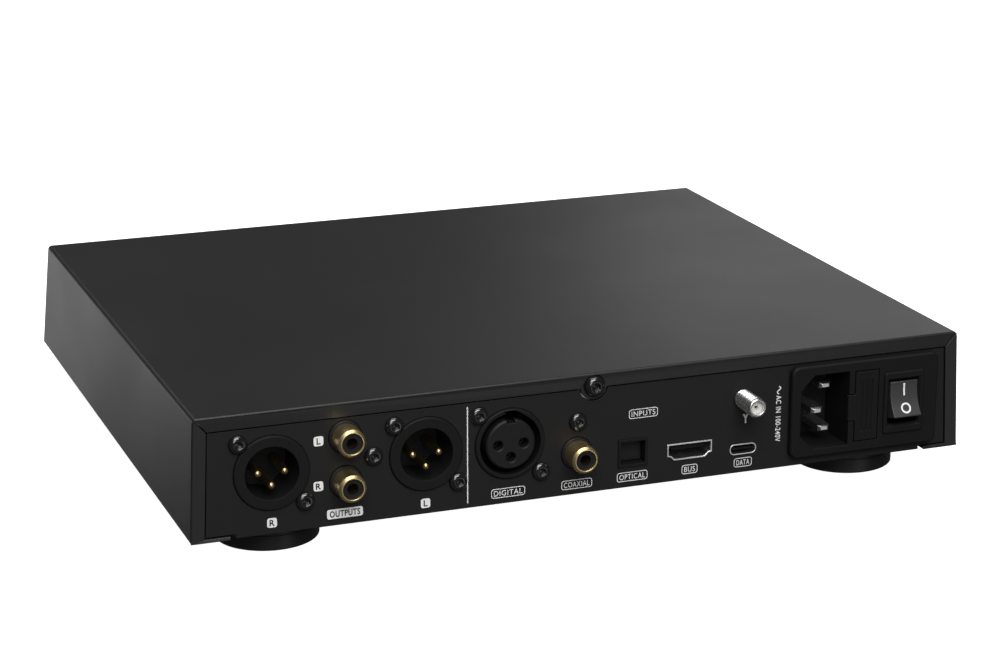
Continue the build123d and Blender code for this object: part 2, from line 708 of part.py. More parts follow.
def optical_receiver():
    """Light receiver: a framed nose in the panel and a well behind the door."""
    x, height = OPTICAL_AT
    top = height + OPTICAL_H / 2
    nose = block(x - OPTICAL_W / 2, x + OPTICAL_W / 2, PANEL_BACK, PANEL_Y + 0.3,
                 up(height - OPTICAL_H / 2), up(top))
    body = block(x - OPTICAL_W / 2, x + OPTICAL_W / 2, PANEL_BACK - OPTICAL_DEPTH, PANEL_BACK,
                 BOARD_TOP, up(top + 1.2))
    inside_w = OPTICAL_W / 2 - OPTICAL_WALL
    well = block(x - inside_w, x + inside_w, PANEL_Y - 11.0, PANEL_Y + 1,
                 up(height - OPTICAL_H / 2 + OPTICAL_WALL), up(top - OPTICAL_WALL))
    attic = block(x - inside_w, x + inside_w, PANEL_Y - 11.0, PANEL_BACK - 0.2,
                  up(height), up(top + 0.4))
    axle = Pos(x, OPTICAL_DOOR_Y, up(OPTICAL_HINGE_HEIGHT)) * Rot(0, 90, 0) * Cylinder(0.45, OPTICAL_W - 0.6)
    return nose + body - well - attic - axle


def optical_shutter():
    """Sprung door that folds inward under the roof of the well."""
    x, height = OPTICAL_AT
    half = OPTICAL_W / 2 - OPTICAL_WALL - RUNNING_GAP / 2
    low = height - OPTICAL_H / 2 + OPTICAL_WALL + RUNNING_GAP
    door = block(x - half, x + half, OPTICAL_DOOR_Y - 0.4, OPTICAL_DOOR_Y + 0.4,
                 up(low), up(OPTICAL_HINGE_HEIGHT))
    hinge = Pos(x, OPTICAL_DOOR_Y, up(OPTICAL_HINGE_HEIGHT)) * Rot(0, 90, 0)
    return door + hinge * Cylinder(0.5, 2 * half) + hinge * Cylinder(0.4, OPTICAL_W - 0.8)


def link_face(inset=0.0):
    """Flat-topped socket outline; each lower corner has a short shelf and a slope."""
    x, height = LINK_AT
    half = LINK_W / 2
    top = up(height + LINK_H / 2)
    low = up(height - LINK_H / 2)
    right = [(x + half, top), (x + half, low + LINK_RISE), (x + half - LINK_SHELF, low + LINK_RISE - 0.2),
             (x + half - 2 * LINK_SHELF, low)]
    left = [(2 * x - px, pz) for px, pz in reversed(right)]
    face = polygon(*right, *left)
    if inset:
        face = offset(face, amount=-inset, kind=Kind.INTERSECTION)
    return face


def link_socket_shell():
    outer = along_y(link_face(), PANEL_Y - LINK_DEPTH, PANEL_Y + 0.3)
    return outer - along_y(link_face(LINK_WALL), PANEL_Y - LINK_DEPTH + 1, PANEL_Y + 1)


def link_socket_tongue():
    """Insulating body at the back of the shell with a flat contact tongue."""
    x, height = LINK_AT
    root = along_y(link_face(LINK_WALL + 0.03), PANEL_Y - LINK_DEPTH + 1, PANEL_Y - 7.5)
    tongue = block(x - 5.6, x + 5.6, PANEL_Y - 8, PANEL_Y - 1.2, up(height + 0.3), up(height + 1.5))
    return root + tongue


def data_face(inset=0.0):
    x, height = DATA_AT
    return Pos(x, up(height)) * RectangleRounded(DATA_W - 2 * inset, DATA_H - 2 * inset, DATA_CORNER - inset)


def data_socket_shell():
    outer = along_y(data_face(), PANEL_Y - DATA_DEPTH, PANEL_Y + 0.3)
    return outer - along_y(data_face(DATA_WALL), PANEL_Y - DATA_DEPTH + 1, PANEL_Y + 1)


def data_socket_tongue():
    x, height = DATA_AT
    root = along_y(data_face(DATA_WALL + 0.03), PANEL_Y - DATA_DEPTH + 1, PANEL_Y - 5.2)
    return root + block(x - 3.3, x + 3.3, PANEL_Y - 6, PANEL_Y - 0.6, up(height - 0.35), up(height + 0.35))


def antenna_socket():
    """Turned threaded barrel that passes through the panel."""
    mouth = PANEL_Y + ANTENNA_LENGTH
    barrel = rod(*ANTENNA_AT, ANTENNA_R, PANEL_Y, mouth)
    barrel = chamfer(barrel.edges().sort_by(Axis.Y)[-1], 0.4)
    barrel += rod(*ANTENNA_AT, ANTENNA_REAR_R, PANEL_BACK - 7, PANEL_Y)
    barrel += rod(*ANTENNA_AT, 4.6, PANEL_BACK - 1.5, PANEL_BACK)
    return barrel - rod(*ANTENNA_AT, 2.1, PANEL_BACK - 8, mouth + 1)


def antenna_insulator():
    core = rod(*ANTENNA_AT, 2.07, PANEL_BACK - 7, PANEL_Y + ANTENNA_LENGTH - 1.2)
    return core - rod(*ANTENNA_AT, 0.65, PANEL_BACK - 8, PANEL_Y + ANTENNA_LENGTH)


def antenna_contact():
    pin = rod(*ANTENNA_AT, 0.63, PANEL_BACK - 8.5, PANEL_Y + ANTENNA_LENGTH - 1.6)
    return pin - rod(*ANTENNA_AT, 0.4, PANEL_Y + ANTENNA_LENGTH - 5, PANEL_Y + ANTENNA_LENGTH)


def antenna_nut():
    """Hex nut that draws the barrel's shoulder against the panel."""
    x, height = ANTENNA_AT
    y_seat = PANEL_BACK - 1.5
    plane = Plane(origin=(x, y_seat, up(height)), x_dir=(1, 0, 0), z_dir=(0, -1, 0))
    nut = extrude(plane * RegularPolygon(4.6, 6), amount=2.2)
    return nut - rod(x, height, ANTENNA_REAR_R + 0.03, y_seat - 4, y_seat + 1)


# Mains module -----------------------------------------------------------------

def inlet_face(inset=0.0):
    """Inlet outline: long sides upright, two cut corners on the earth side."""
    low_x = INLET_X - INLET_W / 2 + inset
    high_x = INLET_X + INLET_W / 2 - inset
    top = INLET_HEIGHT + INLET_H / 2 - inset
    low = INLET_HEIGHT - INLET_H / 2 + inset
    return polygon((low_x, up(low)), (high_x - 4.6, up(low)), (high_x, up(low + 4.6)),
                   (high_x, up(top - 4.6)), (high_x - 4.6, up(top)), (low_x, up(top)))


def mains_inlet():
    """Moulded plate and body with the inlet well and pockets for drawer and switch."""
    x0, x1 = MODULE_X
    low, high = MODULE_HEIGHTS
    width = x1 - x0
    middle = Pos((x0 + x1) / 2, up((low + high) / 2))
    plate = along_y(middle * RectangleRounded(width, high - low, MODULE_CORNER), PANEL_Y, MODULE_FACE)
    plate = chamfer(plate.faces().sort_by(Axis.Y)[-1].edges(), 0.5)
    body = block(x0 + 1.8, x1 - 1.8, PANEL_BACK - MODULE_DEPTH, PANEL_Y, up(low + 1.8), up(high - 1.8))
    body += plate
    body -= along_y(inlet_face(), MODULE_FACE - INLET_DEPTH, MODULE_FACE + 1)
    gap = RUNNING_GAP
    body -= block(DRAWER_X[0] - gap, DRAWER_X[1] + gap, MODULE_FACE - DRAWER_DEPTH - 1.2, MODULE_FACE + 1,
                  up(DRAWER_HEIGHTS[0] - gap), up(DRAWER_HEIGHTS[1] + gap))
    tab_half = DRAWER_TAB_H / 2 + gap
    body -= block(DRAWER_X[1], DRAWER_TAB_X + gap, MODULE_FACE - 2.3, MODULE_FACE + 1,
                  up(INLET_HEIGHT - tab_half), up(INLET_HEIGHT + tab_half))
    body -= rocker_pocket()
    for x, height in inlet_pin_places():
        body -= block(x - 2.03, x + 2.03, PANEL_BACK - MODULE_DEPTH - 1, PANEL_Y, up(height - 1.03),
                      up(height + 1.03))
    return body


def rocker_pocket():
    half_w = ROCKER_FRAME_W / 2 - 0.9
    half_h = ROCKER_FRAME_H / 2 - 0.9
    return block(ROCKER_X - half_w, ROCKER_X + half_w, PANEL_BACK - MODULE_DEPTH - 1, MODULE_FACE + 1,
                 up(ROCKER_HEIGHT - half_h), up(ROCKER_HEIGHT + half_h))


def inlet_pin_places():
    line_x = INLET_X - INLET_PIN_OFFSET
    return [(line_x, INLET_HEIGHT + INLET_PIN_SPREAD), (line_x, INLET_HEIGHT - INLET_PIN_SPREAD),
            (INLET_X + INLET_PIN_OFFSET, INLET_HEIGHT)]


def inlet_pins():
    """Flat blades with tapered tips, the earth blade longer, and tabs behind the body."""
    pins = []
    back = PANEL_BACK - MODULE_DEPTH
    for x, height in inlet_pin_places():
        tip = MODULE_FACE - (1.2 if x > INLET_X else 4.0)
        half = BLADE_W / 2
        blade = block(x - half, x + half, back, tip - 0.8, up(height) - BLADE_T / 2, up(height) + BLADE_T / 2)
        ends = [(tip - 0.8, BLADE_W, BLADE_T), (tip, BLADE_W * 0.6, BLADE_T * 0.62)]
        blade += loft([Plane(origin=(x, y, up(height)), x_dir=(1, 0, 0), z_dir=(0, 1, 0)) * Rectangle(w, t)
                       for y, w, t in ends])
        pins.append(blade + block(x - half, x + half, back - 7, back, up(height - 0.4), up(height + 0.4)))
    return solids(*pins)


def fuse_drawer():
    """Pull-out fuse carrier with a ribbed face and a tab towards the inlet."""
    x0, x1 = DRAWER_X
    low, high = DRAWER_HEIGHTS
    face = MODULE_FACE + 0.1
    body = block(x0, x1, face - DRAWER_DEPTH, face, up(low), up(high))
    body += block(x1 - 1, DRAWER_TAB_X, face - 2.0, face,
                  up(INLET_HEIGHT - DRAWER_TAB_H / 2), up(INLET_HEIGHT + DRAWER_TAB_H / 2))
    for rib in range(3):
        x = (x0 + x1) / 2 - 1.6 + 1.6 * rib
        body -= block(x - 0.3, x + 0.3, face - 0.3, face + 1, up(low + 3), up(high - 3))
    x = (x0 + x1) / 2
    body -= post(x, face - 7.5, 2.7, up(low + 1.1), up(high - 1.1))
    body -= block(x - 2.7, x + 2.7, face - DRAWER_DEPTH - 1, face - 7.5, up(low + 1.1), up(high - 1.1))
    return body


def fuse():
    """Glass tube with a metal cap at each end."""
    x = (DRAWER_X[0] + DRAWER_X[1]) / 2
    y = MODULE_FACE - 7.4
    middle = up((DRAWER_HEIGHTS[0] + DRAWER_HEIGHTS[1]) / 2)
    tube = post(x, y, 2.3, middle - 9.4, middle + 9.4)
    pieces = [tube - post(x, y, 1.8, middle - 9.4, middle + 9.4)]
    for side in (-1, 1):
        cap = post(x, y, 2.6, middle + side * 5, middle + side * 10)
        pieces.append(cap - post(x, y, 2.33, middle + side * 4, middle + side * 9.5))
    return solids(*pieces)


def rocker_frame():
    """Switch housing: bezel, well and a floor below the rocker."""
    half_w = ROCKER_FRAME_W / 2
    half_h = ROCKER_FRAME_H / 2
    place = Pos(ROCKER_X, up(ROCKER_HEIGHT))
    bezel = along_y(place * RectangleRounded(2 * half_w, 2 * half_h, 1.0), MODULE_FACE, MODULE_FACE + 0.8)
    bezel = chamfer(bezel.faces().sort_by(Axis.Y)[-1].edges(), 0.3)
    body = block(ROCKER_X - half_w + 1.0, ROCKER_X + half_w - 1.0, PANEL_BACK - 18, MODULE_FACE,
                 up(ROCKER_HEIGHT - half_h + 1.0), up(ROCKER_HEIGHT + half_h - 1.0))
    body += bezel
    well_w = ROCKER_W / 2 + RUNNING_GAP
    well_h = ROCKER_WELL_H / 2
    body -= block(ROCKER_X - well_w, ROCKER_X + well_w, MODULE_FACE - 9, MODULE_FACE + 2,
                  up(ROCKER_HEIGHT - well_h), up(ROCKER_HEIGHT + well_h))
    rim = [Plane(origin=(0, MODULE_FACE + depth, 0), x_dir=(1, 0, 0), z_dir=(0, -1, 0)) * place
           * Rectangle(2 * (well_w + spread), 2 * (well_h + spread))
           for depth, spread in ((0.85, 0.75), (-0.1, 0.0))]
    body -= loft(rim)
    axle = Pos(ROCKER_X, ROCKER_PIVOT_Y, up(ROCKER_HEIGHT)) * Rot(0, 90, 0)
    return body - axle * Cylinder(1.25, ROCKER_W + 2.0)


def power_rocker():
    """Dished rocker on a short axle, stored with its upper end pressed in."""
    half = ROCKER_HALF
    steps = [step / 5 for step in range(-5, 6)]
    dish = [(ROCKER_NOSE - ROCKER_DIP * (1 - share ** 2), half * share) for share in steps]
    side = Polyline(*dish, (-1.5, half - 0.3), (-3.5, 2.4), (-3.5, -2.4), (-1.5, 0.3 - half), close=True)
    cap = extrude(Plane(origin=(-ROCKER_W / 2, 0, 0), x_dir=(0, 1, 0), z_dir=(1, 0, 0)) * make_face(side),
                  amount=ROCKER_W)
    cap = fillet(cap.edges().filter_by(Axis.X).group_by(Axis.Y)[-1], 0.35)
    cap += Rot(0, 90, 0) * Cylinder(1.2, ROCKER_W + 1.6)
    return Pos(ROCKER_X, ROCKER_PIVOT_Y, up(ROCKER_HEIGHT)) * Rot(ROCKER_TILT, 0, 0) * cap


# Electronics ------------------------------------------------------------------

def standoff_places():
    x0, x1 = MAIN_BOARD_X
    y0, y1 = MAIN_BOARD_Y
    places = [(x, y) for x in (x0 + 5, x1 - 12) for y in (y0 + 5, y1 - 48)]
    x0, x1 = POWER_BOARD_X
    y0, y1 = POWER_BOARD_Y
    return places + [(x, y) for x in (x0 + 10, x1 - 5) for y in (y0 + 4, y1 - 12)]


def standoffs():
    """Pillars under the boards, on the floor and behind the fascia."""
    made = front_board_spacers()
    for x, y in standoff_places():
        made.append(post(x, y, 3.0, FLOOR_TOP, BOARD_LOW) - post(x, y, 1.55, FLOOR_TOP - 1, BOARD_TOP))
    return solids(*made)


def board_screws():
    return solids(*[pan_screw(x, y, BOARD_TOP, 2.75, 1.8, 1.5, 4.5, upward=False)
                    for x, y in standoff_places()])


def main_board():
    """Signal board with a notch for the low data socket."""
    board = block(*MAIN_BOARD_X, *MAIN_BOARD_Y, BOARD_LOW, BOARD_TOP)
    x = DATA_AT[0]
    half = DATA_W / 2 + 0.2
    board -= block(x - half, x + half, PANEL_Y - DATA_DEPTH - 0.2, PANEL_Y, BOARD_LOW - 1, BOARD_TOP + 1)
    for x, y in standoff_places():
        board -= post(x, y, 1.55, BOARD_LOW - 1, BOARD_TOP + 1)
    return board


def power_board():
    board = block(*POWER_BOARD_X, *POWER_BOARD_Y, BOARD_LOW, BOARD_TOP)
    for x, y in standoff_places():
        board -= post(x, y, 1.55, BOARD_LOW - 1, BOARD_TOP + 1)
    return board


def transformer():
    """Ring-core mains transformer lying on the floor."""
    x, y = TOROID_AT
    low = FLOOR_TOP + 1.0
    ring = post(x, y, TOROID_R, low, low + TOROID_H)
    ring = fillet(ring.edges(), 6.0)
    return ring - post(x, y, TOROID_BORE_R, low - 1, low + TOROID_H + 1)


def transformer_clamp():
    """Dished washer and bolt through the ring core."""
    x, y = TOROID_AT
    top = FLOOR_TOP + 1.0 + TOROID_H
    washer = post(x, y, 16.0, top, top + 1.2)
    return washer + post(x, y, 4.0, top + 1.2, top + 1.9) + post(x, y, 2.5, FLOOR_TOP, top + 1)


def capacitors():
    """Smoothing cans on the power board and a row of small ones on the signal board."""
    x1 = POWER_BOARD_X[1]
    y0 = POWER_BOARD_Y[0]
    cans = []
    for step in range(7):
        cans.append(post(-40 + 24 * step, MAIN_BOARD_Y[0] + 14, 4.0, BOARD_TOP, BOARD_TOP + 11))
    for row in range(2):
        for col in range(2):
            x = x1 - 11 - 17 * row
            y = y0 + 14 + 17 * col
            cans.append(fillet(post(x, y, 7.8, BOARD_TOP, BOARD_TOP + 20).edges(), 0.8))
    return solids(*cans)


def heatsink():
    """Finned block beside the regulators."""
    x0 = POWER_BOARD_X[0] + 1.5
    y0 = POWER_BOARD_Y[0] + 9
    sink = block(x0, x0 + 3, y0, y0 + 30, BOARD_TOP, BOARD_TOP + 19)
    for fin in range(5):
        y = y0 + 0.8 + 6.9 * fin
        sink += block(x0 + 3, x0 + 9, y, y + 1.2, BOARD_TOP, BOARD_TOP + 19)
    return sink


def regulator_chips():
    """Power regulators screwed flat on the heatsink's plate."""
    x0 = POWER_BOARD_X[0] + 1.5
    y0 = POWER_BOARD_Y[0] + 9
    made = []
    for fin in range(4):
        y = y0 + 2.4 + 6.9 * fin
        made.append(block(x0 + 3, x0 + 6.5, y, y + 4.4, BOARD_TOP, BOARD_TOP + 14))
    return made


def converter_chips():
    """Two converter chips and their filter amplifiers."""
    chips = []
    y = MAIN_BOARD_Y[1] - 58
    for x in (XLR_OUT_RIGHT_X - 14, XLR_OUT_LEFT_X + 6):
        chips.append(block(x - 5, x + 5, y - 5, y + 5, BOARD_TOP, BOARD_TOP + 1.4))
        for step in (-1, 1):
            chips.append(block(x - 2.5 + step * 9, x + 2.5 + step * 9, y + 9, y + 13, BOARD_TOP,
                               BOARD_TOP + 1.5))
    return chips


def digital_chips():
    """Input receiver, bridge and controller chips."""
    chips = []
    for x, y, half in ((-30.0, 34.0, 7.0), (-4.0, 38.0, 4.5), (20.0, 66.0, 6.0), (-30.0, 56.0, 3.5)):
        y_mid = MAIN_BOARD_Y[1] - y
        chips.append(block(x - half, x + half, y_mid - half, y_mid + half, BOARD_TOP, BOARD_TOP + 1.2))
    return chips


def clock_oscillators():
    y = MAIN_BOARD_Y[1] - 46
    return [block(x - 3.5, x + 3.5, y - 2.5, y + 2.5, BOARD_TOP, BOARD_TOP + 1.8) for x in (24.0, 36.0)]


def board_chips():
    """Every packaged chip: regulators, converters, receivers and clocks."""
    return solids(*regulator_chips(), *converter_chips(), *digital_chips(), *clock_oscillators())


def output_relays():
    """Muting relays between the filters and the outputs."""
    y = MAIN_BOARD_Y[1] - 36
    return solids(*[block(x - 5, x + 5, y - 7.5, y + 7.5, BOARD_TOP, BOARD_TOP + 8)
                    for x in (64.0, 78.0, 92.0)])


def radio_module():
    """Shielded short-range radio board near the antenna socket."""
    x = ANTENNA_AT[0]
    y1 = PANEL_BACK - 16
    plate = block(x - 7.5, x + 6.5, y1 - 18, y1, BOARD_TOP, BOARD_TOP + 1.0)
    return plate + block(x - 6.5, x + 5.5, y1 - 17, y1 - 5, BOARD_TOP + 1.0, BOARD_TOP + 3.0)


def antenna_lead():
    """Thin coaxial lead from the antenna socket down to the radio board."""
    x, height = ANTENNA_AT
    y0 = PANEL_BACK - 8.5
    path = FilletPolyline((x, y0, up(height)), (x, y0 - 9.5, up(height)), (x, y0 - 9.5, BOARD_TOP + 1.0),
                          radius=3.5)
    return sweep(Plane(origin=path @ 0, z_dir=path % 0) * Circle(0.7), path=path)


def display_ribbon():
    """Flat cable from the front board back to the signal board."""
    depth = (FRONT_BOARD_DEPTH + BOARD_T) / math.cos(LEAN)
    y0 = FRONT_Y + depth + 12.0 * math.tan(LEAN)
    thickness = 0.5
    upper = block(20, 36, y0 + 0.3, y0 + 20, up(12) - thickness, up(12))
    drop = block(20, 36, y0 + 20 - thickness, y0 + 20, FLOOR_TOP + 0.2, up(12))
    lower = block(20, 36, y0 + 20 - thickness, MAIN_BOARD_Y[0] - 1, FLOOR_TOP + 0.2,
                  FLOOR_TOP + 0.2 + thickness)
    rise = block(20, 36, MAIN_BOARD_Y[0] - 1 - thickness, MAIN_BOARD_Y[0] - 1, FLOOR_TOP + 0.2,
                 BOARD_TOP + 1)
    lap = block(20, 36, MAIN_BOARD_Y[0] - 1 - thickness, MAIN_BOARD_Y[0] + 4, BOARD_TOP, BOARD_TOP + 1)
    return upper + drop + lower + rise + lap


def inner_leads():
    """Antenna lead, and insulated leads from the inlet blades to the power board."""
    y_tab = PANEL_BACK - MODULE_DEPTH - 7
    leads = [antenna_lead()]
    for x, height in inlet_pin_places():
        y_end = POWER_BOARD_Y[1] - 3
        path = FilletPolyline((x, y_tab, up(height)), (x, y_end, up(height)), (x, y_end, BOARD_TOP),
                              radius=2.2)
        leads.append(sweep(Plane(origin=path @ 0, z_dir=path % 0) * Circle(1.0), path=path))
    return solids(*leads)


NODES = {
    "top_shell": top_shell,
    "chassis": chassis,
    "cover_nut_plate": cover_nut_plate,
    "cover_screw": cover_screw,
    "base_screws": base_screws,
    "front_panel": front_panel,
    "front_screws": front_screws,
    "display_window": display_window,
    "display_module": display_module,
    "front_board": front_board,
    "encoder_body": encoder_body,
    "encoder_nut": encoder_nut,
    "encoder_plunger": encoder_plunger,
    "encoder_shaft": encoder_shaft,
    "knob": knob,
    "knob_set_screw": knob_set_screw,
    "feet": feet,
    "foot_pads": foot_pads,
    "foot_screws": foot_screws,
    "xlr_output_housings": xlr_output_housings,
    "xlr_output_pins": xlr_output_pins,
    "xlr_input_housing": xlr_input_housing,
    "xlr_input_insert": xlr_input_insert,
    "xlr_input_contacts": xlr_input_contacts,
    "connector_screws": connector_screws,
    "phono_output_base": phono_output_base,
    "phono_output_sleeves": phono_output_sleeves,
    "phono_insulators": phono_insulators,
    "phono_contacts": phono_contacts,
    "coax_input_base": coax_input_base,
    "coax_input_sleeve": lambda: phono_sleeve(*COAX_AT, COAX_LENGTH),
    "optical_receiver": optical_receiver,
    "optical_shutter": optical_shutter,
    "link_socket_shell": link_socket_shell,
    "link_socket_tongue": link_socket_tongue,
    "data_socket_shell": data_socket_shell,
    "data_socket_tongue": data_socket_tongue,
    "antenna_socket": antenna_socket,
    "antenna_insulator": antenna_insulator,
    "antenna_contact": antenna_contact,
    "antenna_nut": antenna_nut,
    "mains_inlet": mains_inlet,
    "inlet_pins": inlet_pins,
    "fuse_drawer": fuse_drawer,
    "fuse": fuse,
    "rocker_frame": rocker_frame,
    "power_rocker": power_rocker,
    "inner_leads": inner_leads,
    "main_board": main_board,
    "power_board": power_board,
    "standoffs": standoffs,
    "board_screws": board_screws,
    "transformer": transformer,
    "transformer_clamp": transformer_clamp,
    "heatsink": heatsink,
    "board_chips": board_chips,
    "output_relays": output_relays,
    "capacitors": capacitors,
    "radio_module": radio_module,
    "display_ribbon": display_ribbon,
}

if __name__ == "__main__":
    os.makedirs("parts", exist_ok=True)
    for name, make in NODES.items():
        export_step(make(), f"parts/{name}.step")
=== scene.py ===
import json
import math

import bmesh
import bpy
from mathutils import Matrix, Vector
from mathutils.bvhtree import BVHTree


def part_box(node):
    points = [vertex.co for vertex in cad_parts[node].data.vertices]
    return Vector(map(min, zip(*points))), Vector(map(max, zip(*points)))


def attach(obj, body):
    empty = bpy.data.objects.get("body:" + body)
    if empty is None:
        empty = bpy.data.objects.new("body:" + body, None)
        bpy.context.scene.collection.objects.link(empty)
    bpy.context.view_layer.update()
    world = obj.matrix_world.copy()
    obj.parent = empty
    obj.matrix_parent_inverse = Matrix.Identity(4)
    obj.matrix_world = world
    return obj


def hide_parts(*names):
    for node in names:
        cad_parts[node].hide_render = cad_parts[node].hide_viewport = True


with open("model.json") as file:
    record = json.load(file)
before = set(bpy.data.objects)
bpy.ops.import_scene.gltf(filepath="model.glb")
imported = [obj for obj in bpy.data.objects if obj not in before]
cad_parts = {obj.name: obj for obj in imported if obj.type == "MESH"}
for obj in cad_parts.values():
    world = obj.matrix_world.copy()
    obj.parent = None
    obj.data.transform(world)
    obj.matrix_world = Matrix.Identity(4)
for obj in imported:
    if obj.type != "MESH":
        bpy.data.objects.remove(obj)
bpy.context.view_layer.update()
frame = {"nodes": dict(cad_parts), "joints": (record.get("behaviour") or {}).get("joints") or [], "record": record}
record = frame["record"]

MM = 0.001              # millimetre, in metres
METRE = 1000.0          # metre, in millimetres
MICRONS = 1e6           # micrometres in a metre
SAME_POINT = 1e-7       # metres between points that are taken as one

PANEL_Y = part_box("chassis")[1].y        # outer face of the socket panel
REAR_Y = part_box("top_shell")[1].y       # rear end of the cover
TOP_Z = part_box("top_shell")[1].z
BASE_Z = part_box("top_shell")[0].z


# Places, read from the frame ----------------------------------------------------------

def entry_named(entries, name):
    for entry in entries:
        if entry["name"] == name:
            return entry
    raise KeyError(name)


def mount(name):
    """Position of a mount of the record, in metres."""
    return Vector(entry_named(record["mounts"], name)["pos_m"])


def body_of(node):
    """The body that a CAD node moves with."""
    for body, members in record["behaviour"]["bodies"].items():
        if node in members:
            return body
    raise KeyError(node)


def islands(node):
    """(lowest corner, highest corner) of each separate solid of a CAD node, from +X to -X."""
    data = frame["nodes"][node].data
    parent = []

    def root(i):
        while parent[i] != i:
            parent[i] = parent[parent[i]]
            i = parent[i]
        return i

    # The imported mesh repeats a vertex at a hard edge, so points are told apart by place.
    spots = {}
    index = []
    for vertex in data.vertices:
        key = tuple(round(c * MICRONS) for c in vertex.co)
        if key not in spots:
            spots[key] = len(parent)
            parent.append(len(parent))
        index.append(spots[key])
    for edge in data.edges:
        a, b = (root(index[i]) for i in edge.vertices)
        parent[a] = b
    solids = {}
    for vertex in data.vertices:
        solids.setdefault(root(index[vertex.index]), []).append(vertex.co)
    boxes = []
    for points in solids.values():
        low = Vector([min(p[i] for p in points) for i in range(3)])
        high = Vector([max(p[i] for p in points) for i in range(3)])
        boxes.append((low, high))
    return sorted(boxes, key=lambda b: (-round(b[0].x, 4), -b[0].z))


def centre_and_radius(low, high):
    """Middle of a box in metres, and half its width along X in mm."""
    return (low + high) / 2, (high.x - low.x) / 2 / MM


# Materials ----------------------------------------------------------------------------

def noise(tree, coords, scale, roughness, stretch=None):
    """Noise from 0 to 1; stretch scales the coordinates along each axis first."""
    if stretch:
        mapping = tree.nodes.new("ShaderNodeMapping")
        mapping.inputs["Scale"].default_value = stretch
        tree.links.new(coords, mapping.inputs["Vector"])
        coords = mapping.outputs["Vector"]
    node = tree.nodes.new("ShaderNodeTexNoise")
    node.inputs["Scale"].default_value = scale
    node.inputs["Detail"].default_value = 3.0
    node.inputs["Roughness"].default_value = roughness
    tree.links.new(coords, node.inputs["Vector"])
    return node.outputs["Fac"]


def remap(tree, value, low, high, start=0.25, end=0.75):
    """Takes value from the range start to end over to the range low to high."""
    node = tree.nodes.new("ShaderNodeMapRange")
    node.inputs["From Min"].default_value = start
    node.inputs["From Max"].default_value = end
    node.inputs["To Min"].default_value = low
    node.inputs["To Max"].default_value = high
    tree.links.new(value, node.inputs["Value"])
    return node.outputs["Result"]


def blend_colour(tree, factor, first, second):
    """Colour between first, at factor 0, and second, at 1."""
    node = tree.nodes.new("ShaderNodeMix")
    node.data_type = "RGBA"
    for socket in node.inputs:
        if socket.type == "RGBA":
            socket.default_value = (*(first if socket.name == "A" else second), 1.0)
    tree.links.new(factor, node.inputs["Factor"])
    return [s for s in node.outputs if s.type == "RGBA"][0]


TURNING_DEPTH = 0.00002         # depth of the fine lathe marks
GLOSSIEST = 0.02                # lowest roughness that a finish reaches


def finish(name, colour, rough, metallic=0.0, specular=0.5, grain=0.3, relief=0.1, tone=0.15,
           gloss=0.05, cloud=30.0, stretch=None, coat=0.0, coat_rough=0.1, rings=0.0,
           transmission=0.0):
    """Procedural surface: fine grain in colour and relief, a slow cloud in colour and gloss.

    grain is the size of the grain in mm and relief its strength; tone and gloss say how far
    colour and roughness vary; cloud is the scale of the slow change; stretch draws the grain
    out along an axis; rings adds lathe marks around the local Y axis.
    """
    made = bpy.data.materials.new(name)
    made.use_nodes = True
    tree = made.node_tree
    shader = tree.nodes["Principled BSDF"]
    shader.inputs["Metallic"].default_value = metallic
    shader.inputs["Specular IOR Level"].default_value = specular
    shader.inputs["Coat Weight"].default_value = coat
    shader.inputs["Coat Roughness"].default_value = coat_rough
    shader.inputs["Transmission Weight"].default_value = transmission
    coords = tree.nodes.new("ShaderNodeTexCoord").outputs["Object"]
    fine = noise(tree, coords, METRE / grain, 0.6, stretch)
    slow = noise(tree, coords, cloud, 0.5)
    mixed = tree.nodes.new("ShaderNodeMath")
    mixed.operation = "ADD"
    tree.links.new(remap(tree, fine, 0.0, 0.5), mixed.inputs[0])
    tree.links.new(remap(tree, slow, 0.0, 0.5), mixed.inputs[1])
    pattern = mixed.outputs[0]
    darker = [c * (1.0 - tone) for c in colour]
    lighter = [min(1.0, c * (1.0 + tone)) for c in colour]
    tree.links.new(blend_colour(tree, pattern, darker, lighter), shader.inputs["Base Color"])
    tree.links.new(remap(tree, pattern, max(GLOSSIEST, rough - gloss), rough + gloss, 0.2, 0.8),
                   shader.inputs["Roughness"])
    bump = tree.nodes.new("ShaderNodeBump")
    bump.inputs["Strength"].default_value = relief
    bump.inputs["Distance"].default_value = grain * MM * 0.5
    tree.links.new(fine, bump.inputs["Height"])
    if rings:
        wave_node = tree.nodes.new("ShaderNodeTexWave")
        wave_node.wave_type = "RINGS"
        wave_node.rings_direction = "Y"
        wave_node.inputs["Scale"].default_value = rings
        wave_node.inputs["Distortion"].default_value = 0.4
        tree.links.new(coords, wave_node.inputs["Vector"])
        turning = tree.nodes.new("ShaderNodeBump")
        turning.inputs["Strength"].default_value = relief
        turning.inputs["Distance"].default_value = TURNING_DEPTH
        tree.links.new(wave_node.outputs["Fac"], turning.inputs["Height"])
        tree.links.new(bump.outputs["Normal"], turning.inputs["Normal"])
        bump = turning
    tree.links.new(bump.outputs["Normal"], shader.inputs["Normal"])
    return made


